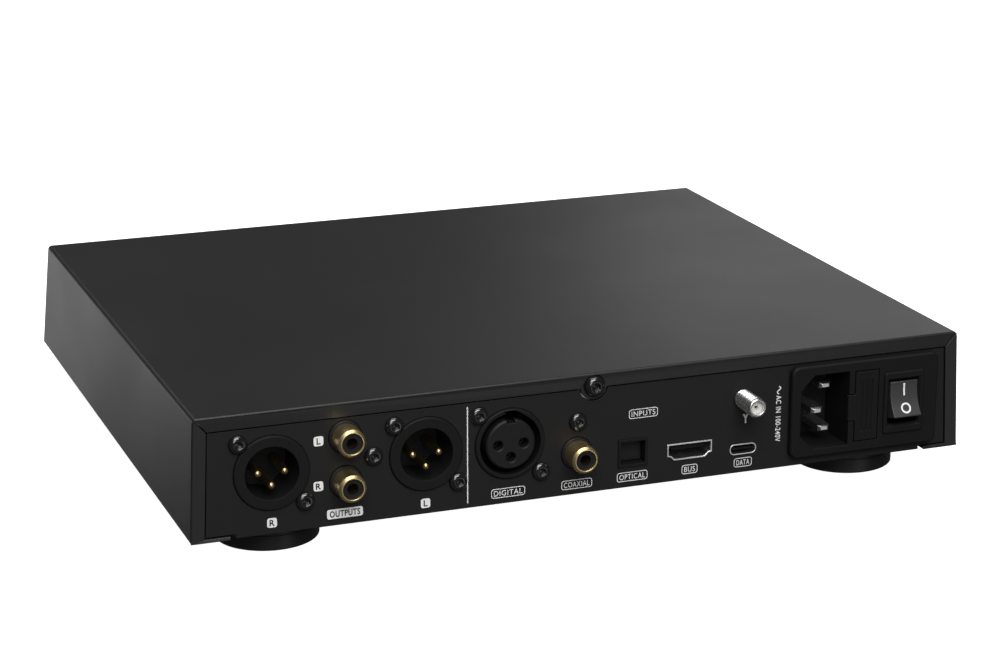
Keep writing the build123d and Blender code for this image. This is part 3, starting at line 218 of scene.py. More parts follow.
SLOTS = {
    "case_finish": finish(
        "case_anodised", (0.0098, 0.0098, 0.0101), 0.40, specular=0.44, grain=0.22,
        relief=0.16, tone=0.16, gloss=0.04, cloud=14.0),
    "panel_finish": finish(
        "panel_satin", (0.0088, 0.0088, 0.0089), 0.55, specular=0.22, grain=0.2,
        relief=0.14, tone=0.14, gloss=0.04, cloud=18.0),
    "fascia_finish": finish(
        "fascia_satin", (0.014, 0.014, 0.0145), 0.36, specular=0.45, grain=0.2,
        relief=0.12, tone=0.14, stretch=(0.06, 1.0, 1.0)),
    "window_plastic": finish(
        "smoked_window", (0.004, 0.004, 0.005), 0.06, grain=2.0, relief=0.01, tone=0.3,
        gloss=0.02, coat=1.0, coat_rough=0.03),
    "black_plastic": finish(
        "moulded_black", (0.0055, 0.0055, 0.0055), 0.62, specular=0.16, grain=0.28,
        relief=0.2, tone=0.16),
    "gloss_black": finish(
        "smooth_black", (0.0075, 0.0075, 0.0078), 0.52, specular=0.22, grain=0.6,
        relief=0.08, tone=0.2, gloss=0.04),
    "rocker_plastic": finish(
        "rocker_black", (0.030, 0.030, 0.031), 0.42, grain=0.25, relief=0.22, tone=0.14),
    "gold_plate": finish(
        "gold_plate", (0.76, 0.59, 0.30), 0.37, metallic=1.0, grain=0.35, relief=0.025,
        tone=0.05, gloss=0.03, rings=2200.0),
    "bright_metal": finish(
        "nickel_plate", (0.70, 0.70, 0.71), 0.3, metallic=1.0, relief=0.08, tone=0.08),
    "silver_metal": finish(
        "turned_nickel", (0.74, 0.74, 0.73), 0.26, metallic=1.0, relief=0.06, tone=0.06),
    "black_steel": finish(
        "black_oxide", (0.006, 0.006, 0.0065), 0.16, specular=0.8, grain=0.5, relief=0.04,
        tone=0.2, gloss=0.04),
    "plain_steel": finish("zinc_plate", (0.52, 0.52, 0.53), 0.36, metallic=1.0, grain=0.4),
    "knob_metal": finish(
        "knob_anodised", (0.022, 0.022, 0.023), 0.3, specular=0.6, grain=0.2, rings=1800.0),
    "foot_metal": finish(
        "foot_anodised", (0.0075, 0.0075, 0.0079), 0.36, specular=0.4, grain=0.25, tone=0.14),
    "pad_rubber": finish(
        "pad_rubber", (0.016, 0.016, 0.016), 0.85, specular=0.2, grain=0.5, relief=0.5,
        tone=0.25),
    "board_laminate": finish(
        "solder_mask", (0.012, 0.07, 0.035), 0.35, grain=1.2, tone=0.2, coat=0.3),
    "chip_plastic": finish(
        "chip_black", (0.018, 0.018, 0.019), 0.55, grain=0.2, relief=0.3, tone=0.2),
    "can_sleeve": finish(
        "can_sleeve", (0.02, 0.03, 0.07), 0.3, grain=0.8, relief=0.05, coat=0.4),
    "winding_tape": finish(
        "winding_tape", (0.72, 0.55, 0.14), 0.3, grain=1.5, relief=0.3, tone=0.12, coat=0.5),
    "fuse_glass": finish(
        "fuse_glass", (0.86, 0.9, 0.9), 0.06, grain=2.0, relief=0.02, tone=0.03, gloss=0.02,
        transmission=0.9),
    "lead_sleeve": finish("lead_sleeve", (0.05, 0.05, 0.055), 0.45, grain=0.5, tone=0.2),
    "dielectric": finish("socket_dielectric", (0.55, 0.55, 0.53), 0.45, grain=0.4, tone=0.06),
    # painted shade: a darkened copy of the gold, for contacts that lie in shadow deep in their sockets
    "contact_gold_painted_shade": finish("contact_painted_shade", (0.10, 0.075, 0.04), 0.5, metallic=1.0, grain=0.4),
    "legend_ink": finish(
        "legend_white", (0.72, 0.72, 0.71), 0.5, specular=0.3, grain=0.15, relief=0.12,
        tone=0.05),
}
# Darker copy of the gold plating for the balanced pins: painted shade for their dim sides deep in the wells.
PIN_GOLD_PAINTED_SHADE = finish(
    "pin_gold_painted_shade", (0.42, 0.32, 0.16), 0.29, metallic=1.0, grain=0.35, relief=0.03, tone=0.06,
    gloss=0.03)
DARK_INK = finish(
    "legend_black", (0.012, 0.012, 0.012), 0.5, specular=0.3, grain=0.15, relief=0.12)
# These contacts get the darkened gold, painted shade standing in for the shadow in their bores.
PAINTED_SHADE_CONTACTS = ("phono_contacts", "xlr_input_contacts")      # deep inside their sockets

for part in record["subparts"]:
    data = frame["nodes"][part["node"]].data
    data.materials.clear()
    gets_painted_shade = part["node"] in PAINTED_SHADE_CONTACTS
    data.materials.append(SLOTS["contact_gold_painted_shade" if gets_painted_shade else part["material_slot"]])


# Making pieces ------------------------------------------------------------------------

def piece(name, bm, body, slot, material=None, replaces=(), sharp=38.0, place=None,
          weighted=True):
    """Object from a bmesh, smooth except at edges over sharp degrees, riding on a body."""
    data = bpy.data.meshes.new(name)
    bm.to_mesh(data)
    bm.free()
    for polygon in data.polygons:
        polygon.use_smooth = True
    data.set_sharp_from_angle(angle=math.radians(sharp))
    data.materials.append(material or SLOTS[slot])
    made = bpy.data.objects.new(name, data)
    bpy.context.scene.collection.objects.link(made)
    if place is not None:
        made.matrix_world = place
    if weighted:
        modifier = made.modifiers.new("normals", "WEIGHTED_NORMAL")
        modifier.keep_sharp = True
    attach(made, body)
    if replaces:
        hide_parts(*replaces)
    return made


CAD_WELD = 2e-6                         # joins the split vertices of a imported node
HARD_EDGE = math.radians(25.0)          # an edge that turns further is rounded
COPLANAR = math.radians(0.5)
NEAR_AXIS = 0.9999                      # a face whose normal is this near an axis is shaded flat
WIDE_STEPS = 5                          # faces across a wide round


def softened(name, node, width, slot, segments=2, adjust=None, wide=None, wide_width=0.0):
    """The CAD node's own form with every hard edge broken by a small round, width in mm.

    adjust moves points beforehand; the edges that wide picks are rounded by wide_width first.
    """
    bm = bmesh.new()
    bm.from_mesh(frame["nodes"][node].data)
    bmesh.ops.remove_doubles(bm, verts=bm.verts, dist=CAD_WELD)
    if adjust:
        for v in bm.verts:
            adjust(v.co)
    bmesh.ops.dissolve_limit(bm, angle_limit=COPLANAR, verts=bm.verts, edges=bm.edges,
                             use_dissolve_boundaries=False)

    def round_edges(offset, steps, picked=None):
        edges = [e for e in bm.edges if len(e.link_faces) == 2
                 and e.calc_face_angle(0.0) > HARD_EDGE and (picked is None or picked(e))]
        bmesh.ops.bevel(bm, geom=edges, offset=offset * MM, offset_type="OFFSET",
                        segments=steps, profile=0.5, affect="EDGES", clamp_overlap=False,
                        loop_slide=True)

    if wide:
        round_edges(wide_width, WIDE_STEPS, wide)
    round_edges(width, segments)
    low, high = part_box(node)
    for v in bm.verts:
        v.co = [min(max(v.co[i], low[i]), high[i]) for i in range(3)]
    bmesh.ops.recalc_face_normals(bm, faces=bm.faces)
    made = piece(name, bm, body_of(node), slot, replaces=(node,))
    for polygon in made.data.polygons:
        if max(abs(c) for c in polygon.normal) > NEAR_AXIS:
            polygon.use_smooth = False


FLUTES = 48                             # around the knob
FLUTE_DEPTH = 0.16 * MM


def ring_point(radius, depth, angle, kind):
    """Point of a round, hexagonal (radius to its flats) or fluted ring about local Y."""
    if kind == "hex":
        turn = (angle + math.pi / 6) % (math.pi / 3) - math.pi / 6
        radius = radius / math.cos(turn)
    elif kind == "flute":
        radius = radius - FLUTE_DEPTH * (0.5 - 0.5 * math.cos(angle * FLUTES))
    return Vector((radius * math.cos(angle), depth, radius * math.sin(angle)))


def turned(rings, count=72, closed=False):
    """Body of revolution about local Y. A ring is (radius, depth) or (radius, depth, kind), in mm.

    closed joins the last ring to the first, as for a tube; otherwise both ends are capped.
    """
    bm = bmesh.new()
    loops = []
    for ring in rings:
        radius, depth = ring[0] * MM, ring[1] * MM
        kind = ring[2] if len(ring) > 2 else "round"
        if radius < SAME_POINT:
            loops.append([bm.verts.new((0.0, depth, 0.0))])
            continue
        loops.append([bm.verts.new(ring_point(radius, depth, 2 * math.pi * i / count, kind))
                      for i in range(count)])
    pairs = list(zip(loops, loops[1:]))
    if closed:
        pairs.append((loops[-1], loops[0]))
    for first, second in pairs:
        for i in range(count):
            j = (i + 1) % count
            if len(first) == 1:
                bm.faces.new((first[0], second[j], second[i]))
            elif len(second) == 1:
                bm.faces.new((first[i], first[j], second[0]))
            else:
                bm.faces.new((first[i], first[j], second[j], second[i]))
    if not closed:
        for loop in (loops[0], loops[-1]):
            if len(loop) > 1:
                bm.faces.new(loop)
    bmesh.ops.recalc_face_normals(bm, faces=bm.faces)
    return bm


def arc(centre_r, centre_d, radius, start, end, steps=6):
    """Rings along a rounded edge; angles in degrees from the outward radius towards +depth."""
    rings = []
    for i in range(steps + 1):
        a = math.radians(start + (end - start) * i / steps)
        rings.append((centre_r + radius * math.cos(a), centre_d + radius * math.sin(a)))
    return rings


def extruded(grown, kind):
    """The vertices or the edges that a bmesh extrusion made."""
    return [g for g in grown["geom"] if isinstance(g, kind)]


# Case, panel and mouldings ------------------------------------------------------------

OUTLINE_Z = TOP_Z - 0.0025      # the rim's outer edge lies above this height at the top,
OUTLINE_X = 0.1225              # and outside this distance from the middle at the sides
LIP_Z = BASE_Z + 0.0006         # the bottom lips, below this height, stay square
CAD_SLOPE = 0.0006              # depth of the sloping rear rim in the CAD node
SHOWN_SLOPE = 0.0002            # and in the visual cover


def outer_rim(edge):
    """Whether an edge of the cover is on the outline of its rear end."""
    ends = [v.co for v in edge.verts]
    if not all(abs(p.y - REAR_Y) < 2e-5 for p in ends):
        return False
    top = all(p.z > OUTLINE_Z for p in ends)
    side = all(abs(p.x) > OUTLINE_X and p.z > LIP_Z for p in ends)
    return top or side


def shallow_dish(place):
    """Brings the inner edge of the cover's rear rim nearly level with its outer edge."""
    if abs(place.y - (REAR_Y - CAD_SLOPE)) < 5e-5:
        place.y = REAR_Y - SHOWN_SLOPE


softened("cover", "top_shell", 0.18, "case_finish", adjust=shallow_dish, wide=outer_rim,
         wide_width=0.6)

# piece, CAD node, width of the rounding in mm, material slot, steps across the rounding
SOFTENED = (
    ("socket_panel", "chassis", 0.12, "panel_finish", 2),
    ("fascia", "front_panel", 0.2, "fascia_finish", 2),
    ("window", "display_window", 0.3, "window_plastic", 3),
    ("mains_module", "mains_inlet", 0.16, "black_plastic", 3),
    ("mains_blades", "inlet_pins", 0.12, "bright_metal", 2),
    ("fuse_carrier", "fuse_drawer", 0.14, "black_plastic", 3),
    ("switch_housing", "rocker_frame", 0.14, "black_plastic", 3),
    ("rocker_cap", "power_rocker", 0.22, "rocker_plastic", 3),
    ("balanced_output_housings", "xlr_output_housings", 0.12, "black_plastic", 3),
    ("balanced_input_housing", "xlr_input_housing", 0.14, "black_plastic", 3),
    ("balanced_input_core", "xlr_input_insert", 0.14, "gloss_black", 3),
    ("optical_frame", "optical_receiver", 0.12, "black_plastic", 2),
    ("optical_door", "optical_shutter", 0.1, "gloss_black", 2),
    ("link_shell", "link_socket_shell", 0.1, "bright_metal", 2),
    ("data_shell", "data_socket_shell", 0.08, "bright_metal", 2),
)
for row in SOFTENED:
    softened(*row)


# Screws -------------------------------------------------------------------------------

SHANK = 1.5                     # radius of every screw's shank, in mm


def screw(name, node, low, high, head, length):
    """Button-head screw with a hexagon socket in the place of a box; head and length in mm."""
    centre, radius = centre_and_radius(low, high)
    socket = radius * 0.36      # half the width across the flats
    crown = socket * 1.5        # where the dome ends, near the socket
    side = head * 0.22          # height of the head's straight side
    rings = [(0, -length), (SHANK - 0.2, -length), (SHANK, -length + 0.2), (SHANK, -0.02),
             (radius - 0.08, -0.02), (radius, 0.06), (radius, side)]
    steps = 9                   # around the dome
    for i in range(1, steps):
        a = math.radians(90.0 * i / steps)
        rings.append((crown + (radius - crown) * math.cos(a), side + head * 0.76 * math.sin(a)))
    rings += [(socket * 1.45, head), (socket * 1.28, head), (socket, head - 0.14, "hex"),
              (socket, head * 0.34, "hex"), (socket * 0.5, head * 0.28), (0, head * 0.2)]
    piece(name, turned(rings), "case", "black_steel", replaces=(node,),
          place=Matrix.Translation((centre.x, high.y - head * MM, centre.z)))


for number, (low, high) in enumerate(islands("connector_screws")):
    screw(f"socket_screw_{number + 1}", "connector_screws", low, high, 1.65, 7.0)
screw("cover_fixing_screw", "cover_screw", *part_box("cover_screw"), 2.2, 6.5)


# Sleeves and pins ---------------------------------------------------------------------

SLEEVE_ROOT = 3.9               # radius behind the moulded collar, in mm
SLEEVE_BORE = 3.15
COLLAR_Y = PANEL_Y + 0.6 * MM   # outer face of the collar
# piece, CAD node, which of its solids
SLEEVES = (
    ("output_sleeve_upper", "phono_output_sleeves", 0),
    ("output_sleeve_lower", "phono_output_sleeves", 1),
    ("input_sleeve", "coax_input_sleeve", 0),
)


def sleeve_form(radius, length, back):
    """Turned contact sleeve: narrow root, plain barrel, rounded mouth and thin lip, in mm."""
    bend = length - 0.85        # where the barrel starts to curve in
    rings = [(SLEEVE_ROOT, -back), (SLEEVE_ROOT, 0.0), (radius - 0.1, 0.0), (radius, 0.12),
             (radius, bend)]
    rings += arc(radius - 0.25, bend, 0.25, 0, 40, 4)
    rings += [(radius - 0.66, length - 0.1)]
    rings += arc(radius - 0.74, length - 0.12, 0.12, 50, 90, 3)
    rings += [(SLEEVE_BORE + 0.1, length), (SLEEVE_BORE, length - 0.12), (SLEEVE_BORE, -back)]
    return turned(rings, 96, closed=True)


for name, node, which in SLEEVES:
    low, high = islands(node)[which]
    centre, radius = centre_and_radius(low, high)
    form = sleeve_form(radius, (high.y - COLLAR_Y) / MM, (COLLAR_Y - low.y) / MM)
    piece(name, form, "case", "gold_plate", replaces=(node,),
          place=Matrix.Translation((centre.x, COLLAR_Y, centre.z)))

PIN_RADIUS = 1.2                # in mm
PIN_LENGTH = 15.2
PIN_PLACES = ((-4.05, 0), (4.05, 0), (0, -4.05))        # along X and Z from the mount, in mm
PIN_TIP_Y = PANEL_Y + 0.6 * MM


def pin_form():
    """Round contact with a domed tip at local Y 0."""
    rings = [(0, -PIN_LENGTH), (PIN_RADIUS, -PIN_LENGTH), (PIN_RADIUS, -PIN_RADIUS)]
    rings += arc(0, -PIN_RADIUS, PIN_RADIUS, 0, 88, 8)[1:]
    rings += [(0, 0)]
    return turned(rings, 40)


for side in ("right", "left"):
    spot = mount(f"balanced_out_{side}")
    for number, (dx, dz) in enumerate(PIN_PLACES):
        piece(f"balanced_pin_{side}_{number + 1}", pin_form(), "case", "gold_plate",
              material=PIN_GOLD_PAINTED_SHADE, replaces=("xlr_output_pins",),
              place=Matrix.Translation((spot.x + dx * MM, PIN_TIP_Y, spot.z + dz * MM)))


# Antenna socket -----------------------------------------------------------------------

CREST, ROOT = 3.17, 2.93        # radii of the thread, in mm
PITCH = 0.7056
MOUTH = 0.28                    # length of the bevelled mouth beyond the thread
BORE = 2.1                      # radius


def barrel_form(length):
    """Barrel with a helical thread that fades at both ends, a bevelled mouth and a bore."""
    steps, count = 6, 48        # rows of the grid in one pitch, columns around the barrel
    end = length - MOUTH
    flank = (ROOT + CREST) / 2
    profile = (ROOT, ROOT, flank, CREST, CREST, flank)
    fade = PITCH * 0.8
    rows = int(math.ceil(end / PITCH + 2)) * steps
    bm = bmesh.new()
    grid = []
    for k in range(rows + 1):
        line = []
        for i in range(count + 1):
            y = PITCH * (k / steps - 1.0 + i / count)
            share = min(1.0, max(0.0, min(y, end - y)) / fade)
            radius = ROOT + (profile[k % steps] - ROOT) * share
            y = min(max(y, 0.0), end)
            a = 2 * math.pi * i / count
            line.append(bm.verts.new(
                (radius * math.cos(a) * MM, y * MM, radius * math.sin(a) * MM)))
        grid.append(line)
    for k in range(rows):
        for i in range(count):
            bm.faces.new((grid[k][i], grid[k][i + 1], grid[k + 1][i + 1], grid[k + 1][i]))
    bmesh.ops.remove_doubles(bm, verts=bm.verts, dist=SAME_POINT)
    bmesh.ops.dissolve_degenerate(bm, edges=bm.edges, dist=SAME_POINT)

    def open_loop(y):
        return [e for e in bm.edges if len(e.link_faces) == 1
                and all(abs(v.co.y - y * MM) < 1e-6 for v in e.verts)]

    foot, edges = open_loop(0.0), open_loop(end)
    for radius, y in ((ROOT - 0.3, end + MOUTH), (BORE + 0.12, end + MOUTH),
                      (BORE, end + 0.12), (BORE, 0.0)):
        grown = bmesh.ops.extrude_edge_only(bm, edges=edges)
        for v in extruded(grown, bmesh.types.BMVert):
            flat = Vector((v.co.x, 0, v.co.z)).normalized() * radius * MM
            v.co = Vector((flat.x, y * MM, flat.z))
        edges = extruded(grown, bmesh.types.BMEdge)
    bmesh.ops.bridge_loops(bm, edges=edges + foot)
    bmesh.ops.recalc_face_normals(bm, faces=bm.faces)
    return bm


spot = mount("antenna")
barrel = barrel_form((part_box("antenna_socket")[1].y - PANEL_Y) / MM)
piece("antenna_barrel", barrel, "case", "silver_metal", replaces=("antenna_socket",),
      place=Matrix.Translation((spot.x, PANEL_Y, spot.z)), sharp=60.0)


# Feet and knob ------------------------------------------------------------------------

PAD_RADIUS = 13.3               # of the recess for the pad, in mm
PAD_DEPTH = 1.4
SCREW_HOLE = 4.2                # radius
FOOT_ROUND = 0.55               # radius of the foot's lower edge
GROOVE = 0.18                   # depth of the groove around the foot

for number, (low, high) in enumerate(islands("feet")):
    centre, radius = centre_and_radius(low, high)
    height = (high.z - low.z) / MM
    rings = [(PAD_RADIUS, 0.0), (14.0, 0.0)]
    rings += arc(radius - FOOT_ROUND, FOOT_ROUND, FOOT_ROUND, -90, 0)
    rings += [(radius, 4.6), (radius - GROOVE, 4.75), (radius - GROOVE, 5.05), (radius, 5.2),
              (radius, height - 0.3), (radius - 0.2, height - 0.1), (radius - 0.2, height),
              (SCREW_HOLE, height), (SCREW_HOLE, PAD_DEPTH), (PAD_RADIUS, PAD_DEPTH)]
    upright = Matrix.Rotation(math.radians(90), 4, "X")
    piece(f"foot_{number + 1}", turned(rings, 128, closed=True), "case", "foot_metal",
          replaces=("feet",), place=Matrix.Translation((centre.x, centre.y, low.z)) @ upright)

KNOB_RADIUS = 11.9              # in mm
KNOB_TOP = 11.95                # height of its flat end above the fascia
rings = [(8.0, 0.7), (11.6, 0.7), (KNOB_RADIUS, 1.0), (KNOB_RADIUS, 2.2),
         (KNOB_RADIUS, 2.4, "flute"), (KNOB_RADIUS, 10.2, "flute"),
         (KNOB_RADIUS, 10.4), (KNOB_RADIUS, 11.2), (11.15, KNOB_TOP), (10.4, KNOB_TOP),
         (10.2, 11.8), (10.0, 11.8), (9.8, KNOB_TOP), (0.0, KNOB_TOP)]
turn = entry_named(frame["joints"], "knob_turn")
outward = Vector(turn["axis"]).normalized().to_track_quat("Y", "Z").to_matrix().to_4x4()
piece("volume_knob", turned(rings, 192), body_of("knob"), "knob_metal", replaces=("knob",),
      place=Matrix.Translation(turn["pos_m"]) @ outward)


# Printed legends ----------------------------------------------------------------------

INK = 0.03 * MM                 # thickness of a printed layer
CAPS = 0.70                     # height of a capital in the built-in font of size 1
SPACING = 1.12                  # between letters


def on_panel(x, z, lift=0.0):
    """Local X towards -X, local Y up and local Z out of the socket panel."""
    return Matrix(((-1, 0, 0, x), (0, 0, 1, PANEL_Y + lift), (0, 1, 0, z), (0, 0, 0, 1)))


def down_panel(x, z):
    """As on_panel, with local X down the panel."""
    return Matrix(((0, -1, 0, x), (0, 0, 1, PANEL_Y), (-1, 0, 0, z), (0, 0, 0, 1)))


def lettering(text, height, width, weight):
    """Flat centred letters in the XY plane.

    height is that of a capital in mm; width, if not None, is what the text is fitted to;
    weight thickens the strokes.
    """
    curve = bpy.data.curves.new("letters", "FONT")
    curve.body = text
    curve.size = 1.0
    curve.offset = weight
    curve.space_character = SPACING
    curve.extrude = 0.0
    curve.resolution_u = 6
    holder = bpy.data.objects.new("letters", curve)
    bpy.context.scene.collection.objects.link(holder)
    bpy.context.view_layer.update()
    graph = bpy.context.evaluated_depsgraph_get()
    data = bpy.data.meshes.new_from_object(holder.evaluated_get(graph))
    bm = bmesh.new()
    bm.from_mesh(data)
    bpy.data.objects.remove(holder)
    bpy.data.curves.remove(curve)
    bpy.data.meshes.remove(data)
    xs = [v.co.x for v in bm.verts]
    scale = height * MM / CAPS
    wide = scale if width is None else width * MM / (max(xs) - min(xs))
    middle = (max(xs) + min(xs)) / 2
    for v in bm.verts:
        v.co = Vector(((v.co.x - middle) * wide, (v.co.y - CAPS / 2) * scale, 0.0))
    bmesh.ops.remove_doubles(bm, verts=bm.verts, dist=SAME_POINT)
    return bm


def thicken(bm, shift):
    """Gives flat shapes a real thickness, by the vector shift."""
    grown = bmesh.ops.extrude_face_region(bm, geom=bm.faces[:])
    for v in extruded(grown, bmesh.types.BMVert):
        v.co += shift
    bmesh.ops.recalc_face_normals(bm, faces=bm.faces)


def pill_points(width, height, radius):
    """Outline of a rounded rectangle about the origin, sizes in mm."""
    steps = 6                   # edges around a corner
    points = []
    for cx, cy, start in ((1, 1, 0), (-1, 1, 90), (-1, -1, 180), (1, -1, 270)):
        for i in range(steps + 1):
            a = math.radians(start + 90 * i / steps)
            points.append(((cx * (width / 2 - radius) + radius * math.cos(a)) * MM,
                           (cy * (height / 2 - radius) + radius * math.sin(a)) * MM, 0.0))
    return points


def pill(width, height, radius, line=None):
    """Filled rounded plate, or its outline when a line width is given."""
    bm = bmesh.new()
    outer = [bm.verts.new(p) for p in pill_points(width, height, radius)]
    if line is None:
        bm.faces.new(outer)
        return bm
    inside = pill_points(width - 2 * line, height - 2 * line, radius - line)
    inner = [bm.verts.new(p) for p in inside]
    for i in range(len(outer)):
        j = (i + 1) % len(outer)
        bm.faces.new((outer[i], outer[j], inner[j], inner[i]))
    return bm


def bar(x0, x1, y0, y1):
    """Flat rectangle between these places, in mm."""
    bm = bmesh.new()
    corners = ((x0, y0), (x1, y0), (x1, y1), (x0, y1))
    bm.faces.new([bm.verts.new((x * MM, y * MM, 0.0)) for x, y in corners])
    return bm


def wave(length, height, thickness):
    """One period of a sine as a flat ribbon of even thickness, sizes in mm."""
    steps = 24
    bm = bmesh.new()
    rails = []
    for side in (-0.5, 0.5):
        rail = []
        for i in range(steps + 1):
            share = i / steps
            slope = math.pi * height / length * math.cos(2 * math.pi * share)
            lean = math.hypot(1.0, slope)
            x = (share - 0.5) * length - side * thickness * slope / lean
            y = height / 2 * math.sin(2 * math.pi * share) + side * thickness / lean
            rail.append(bm.verts.new((x * MM, y * MM, 0.0)))
        rails.append(rail)
    for i in range(steps):
        bm.faces.new((rails[0][i], rails[0][i + 1], rails[1][i + 1], rails[1][i]))
    return bm


def printed(name, bm, place, material=None):
    """Makes a piece of the fixed body from flat shapes, as thick as a layer of ink."""
    thicken(bm, Vector((0.0, 0.0, INK)))
    piece(name, bm, "case", "legend_ink", material=material, place=place, weighted=False)


# mount, shift from it along X and Z in mm, text, width of its pill in mm, filled or outlined
LEGENDS = (
    ("phono_out_left", 8.05, -0.45, "L", 2.95, True),
    ("phono_out_right", 8.35, -0.35, "R", 2.95, True),
    ("phono_out_right", 0.45, -9.55, "OUTPUTS", 11.0, True),
    ("balanced_out_right", 0.2, -15.35, "R", 2.95, True),
    ("balanced_out_left", 0.3, -15.45, "L", 2.95, True),
    ("balanced_in", 0.5, -15.35, "DIGITAL", 10.8, False),
    ("coax_in", -0.1, -9.9, "COAXIAL", 10.0, False),
    ("optical_in", 0.1, -7.5, "OPTICAL", 10.1, False),
    ("optical_in", -3.3, 12.35, "INPUTS", 9.5, False),
    ("link_in", -0.2, -6.1, "BUS", 5.3, False),
    ("data_in", -0.2, -4.4, "DATA", 6.1, False),
)
PILL_HEIGHT = 2.95
PILL_MARGIN = 1.7               # width of a pill beyond that of its word
LINE_WIDTH = 0.21               # of an outlined pill

for number, (where, dx, dz, text, width, filled) in enumerate(LEGENDS):
    spot = mount(where)
    x, z = spot.x + dx * MM, spot.z + dz * MM
    name = f"legend_{number + 1}_{text.lower()}"
    fit = None if len(text) == 1 else width - PILL_MARGIN
    if filled:
        letters = lettering(text, 1.85, fit, 0.025)
        printed(name + "_plate", pill(width, PILL_HEIGHT, 0.7), on_panel(x, z))
        printed(name, letters, on_panel(x, z, INK), material=DARK_INK)
    else:
        letters = lettering(text, 1.7, fit, 0.0)
        printed(name + "_line", pill(width, PILL_HEIGHT, 0.85, LINE_WIDTH), on_panel(x, z))
        printed(name, letters, on_panel(x, z))

spot = mount("antenna")
printed("legend_antenna", lettering("Y", 2.7, 1.95, 0.05),
        on_panel(spot.x - 0.95 * MM, spot.z - 6.5 * MM))

low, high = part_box("mains_inlet")
x, z = high.x + 3.4 * MM, (low.z + high.z) / 2
printed("legend_mains", lettering("AC IN 100-240V", 1.7, 15.0, 0.01),
        down_panel(x, z - 1.6 * MM))
printed("legend_mains_wave", wave(2.5, 1.1, 0.32), down_panel(x, z + 7.6 * MM))

middle = (mount("balanced_out_left").x + mount("balanced_in").x) / 2 + 0.2 * MM
printed("legend_divider", bar(-0.16, 0.16, -15.2, 14.9), on_panel(middle, BASE_Z + 16.95 * MM))


# Marks on the rocker ------------------------------------------------------------------

MARK = 0.04 * MM                # thickness of a mark
LONG_EDGE = 0.6 * MM            # an edge over this is cut up so that it can follow the dish
START_DISTANCE = 0.03           # in front of the hinge, in metres, where the rays start

tip = entry_named(frame["joints"], "rocker_tip")
tilt = math.radians(-tip["range_deg"][0] / 2)
rocker_turn = Matrix.Translation(tip["pos_m"]) @ Matrix.Rotation(tilt, 4, "X")


def draped(name, bm, height):
    """Lays a flat mark on the dished face of the rocker, a height in mm above its middle."""
    cap = frame["nodes"]["power_rocker"].data
    target = BVHTree.FromPolygons([v.co for v in cap.vertices],
                                  [p.vertices for p in cap.polygons])
    inwards = rocker_turn.to_3x3() @ Vector((0, -1, 0))
    long_edges = [e for e in bm.edges if e.calc_length() > LONG_EDGE]
    bmesh.ops.subdivide_edges(bm, edges=long_edges, cuts=5, use_grid_fill=True)
    for v in bm.verts:
        start = rocker_turn @ Vector((-v.co.x, START_DISTANCE, v.co.y + height * MM))
        v.co = target.ray_cast(start, inwards)[0] - inwards * INK
    thicken(bm, -inwards * MARK)
    piece(name, bm, "rocker", "legend_ink", weighted=False)


draped("rocker_mark_on", bar(-0.28, 0.28, -1.95, 1.95), 3.0)
draped("rocker_mark_off", pill(3.4, 3.4, 1.69, 0.55), -2.9)


# Floor and surroundings ---------------------------------------------------------------

WHITE = (1, 1, 1, 1)
FLOOR_Z = -0.0002               # just under the feet
FLOOR_CORNERS = ((-6, -6), (6, -6), (6, 6), (-6, 6))

bm = bmesh.new()
bm.faces.new([bm.verts.new((x, y, FLOOR_Z)) for x, y in FLOOR_CORNERS])
data = bpy.data.meshes.new("floor")
bm.to_mesh(data)
bm.free()
floor = bpy.data.objects.new("floor", data)
bpy.context.scene.collection.objects.link(floor)
paper = bpy.data.materials.new("floor_paper")
paper.use_nodes = True
shader = paper.node_tree.nodes["Principled BSDF"]
shader.inputs["Base Color"].default_value = (0.8, 0.8, 0.8, 1)
shader.inputs["Roughness"].default_value = 1.0
shader.inputs["Specular IOR Level"].default_value = 0.0
shader.inputs["Emission Color"].default_value = WHITE
shader.inputs["Emission Strength"].default_value = 1.0
data.materials.append(paper)
# The floor is only a white ground to the camera. It neither lights the object nor keeps
# the two lights below it from doing so.
floor.visible_glossy = False
floor.visible_diffuse = False
floor.visible_shadow = False

AMBIENT = 0.07                  # strength of the surroundings as a light

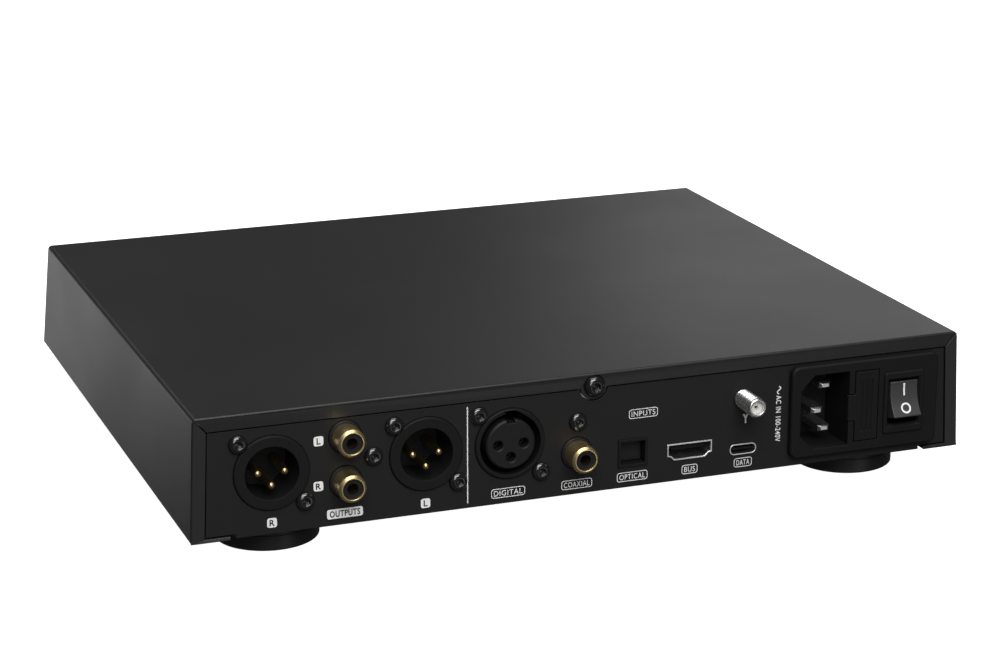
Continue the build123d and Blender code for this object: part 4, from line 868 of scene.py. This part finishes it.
world = bpy.data.worlds.new("studio")
bpy.context.scene.world = world
world.use_nodes = True
tree = world.node_tree
ambient = tree.nodes["Background"]
backcloth = tree.nodes.new("ShaderNodeBackground")
for node, strength in ((ambient, AMBIENT), (backcloth, 1.0)):
    node.inputs["Color"].default_value = WHITE
    node.inputs["Strength"].default_value = strength
rays = tree.nodes.new("ShaderNodeLightPath")
switch = tree.nodes.new("ShaderNodeMixShader")
tree.links.new(rays.outputs["Is Camera Ray"], switch.inputs["Fac"])
tree.links.new(ambient.outputs["Background"], switch.inputs[1])
tree.links.new(backcloth.outputs["Background"], switch.inputs[2])
tree.links.new(switch.outputs["Shader"], tree.nodes["World Output"].inputs["Surface"])


# Lights and camera --------------------------------------------------------------------

def aimed(made, location, direction):
    """Places a light or a camera so that it looks along direction."""
    made.location = location
    made.rotation_mode = "QUATERNION"
    made.rotation_quaternion = Vector(direction).to_track_quat("-Z", "Y")
    bpy.context.scene.collection.objects.link(made)


def softbox(name, location, target, width, height, power):
    """Rectangular light; place, aim and size in metres, power in watts."""
    lamp = bpy.data.lights.new(name, "AREA")
    lamp.shape = "RECTANGLE"
    lamp.size = width
    lamp.size_y = height
    lamp.energy = power
    aimed(bpy.data.objects.new(name, lamp), location, Vector(target) - Vector(location))


MIDDLE = (0.0, 0.0, 0.0)
SOCKETS = (0.0, 0.1, 0.03)

# Above and behind the camera, on the socket panel; then a strip over the top.
softbox("key", (0.25, 1.5, 1.35), SOCKETS, 1.4, 1.0, 39.0)
softbox("overhead", (0.0, 0.35, 1.4), (0.0, 0.1, 0.0), 1.3, 0.35, 7.0)
# Seen by reflection in the top face, and in the visible side.
softbox("backdrop", (-1.68, -1.75, 0.64), MIDDLE, 1.8, 1.1, 5.4)
softbox("low_side", (0.5, -1.92, -0.32), (0.12, 0.0, 0.03), 0.9, 0.5, 1.6)
# Into the wells of the sockets, and on the front.
softbox("camera_fill", (0.3, 1.7, 0.3), SOCKETS, 0.5, 0.5, 4.5)
softbox("front_fill", (0.5, -1.3, 1.6), MIDDLE, 1.0, 1.0, 8.0)
# Below the floor, where the ends of the blades and the shells of the sockets mirror it.
softbox("floor_glow", (-0.42, 1.1, -0.32), SOCKETS, 0.4, 0.36, 0.4)

bpy.context.scene.view_settings.view_transform = "Standard"

VIEW_DIRECTION = (-0.33597, -0.89633, -0.28933)
lens = bpy.data.cameras.new("camera")
lens.lens = 96.0
lens.sensor_width = 36.0
lens.clip_start = 0.01
lens.clip_end = 50.0
camera = bpy.data.objects.new("camera", lens)
aimed(camera, (0.2926, 0.80675, BASE_Z + 0.2794), VIEW_DIRECTION)
bpy.context.scene.camera = camera
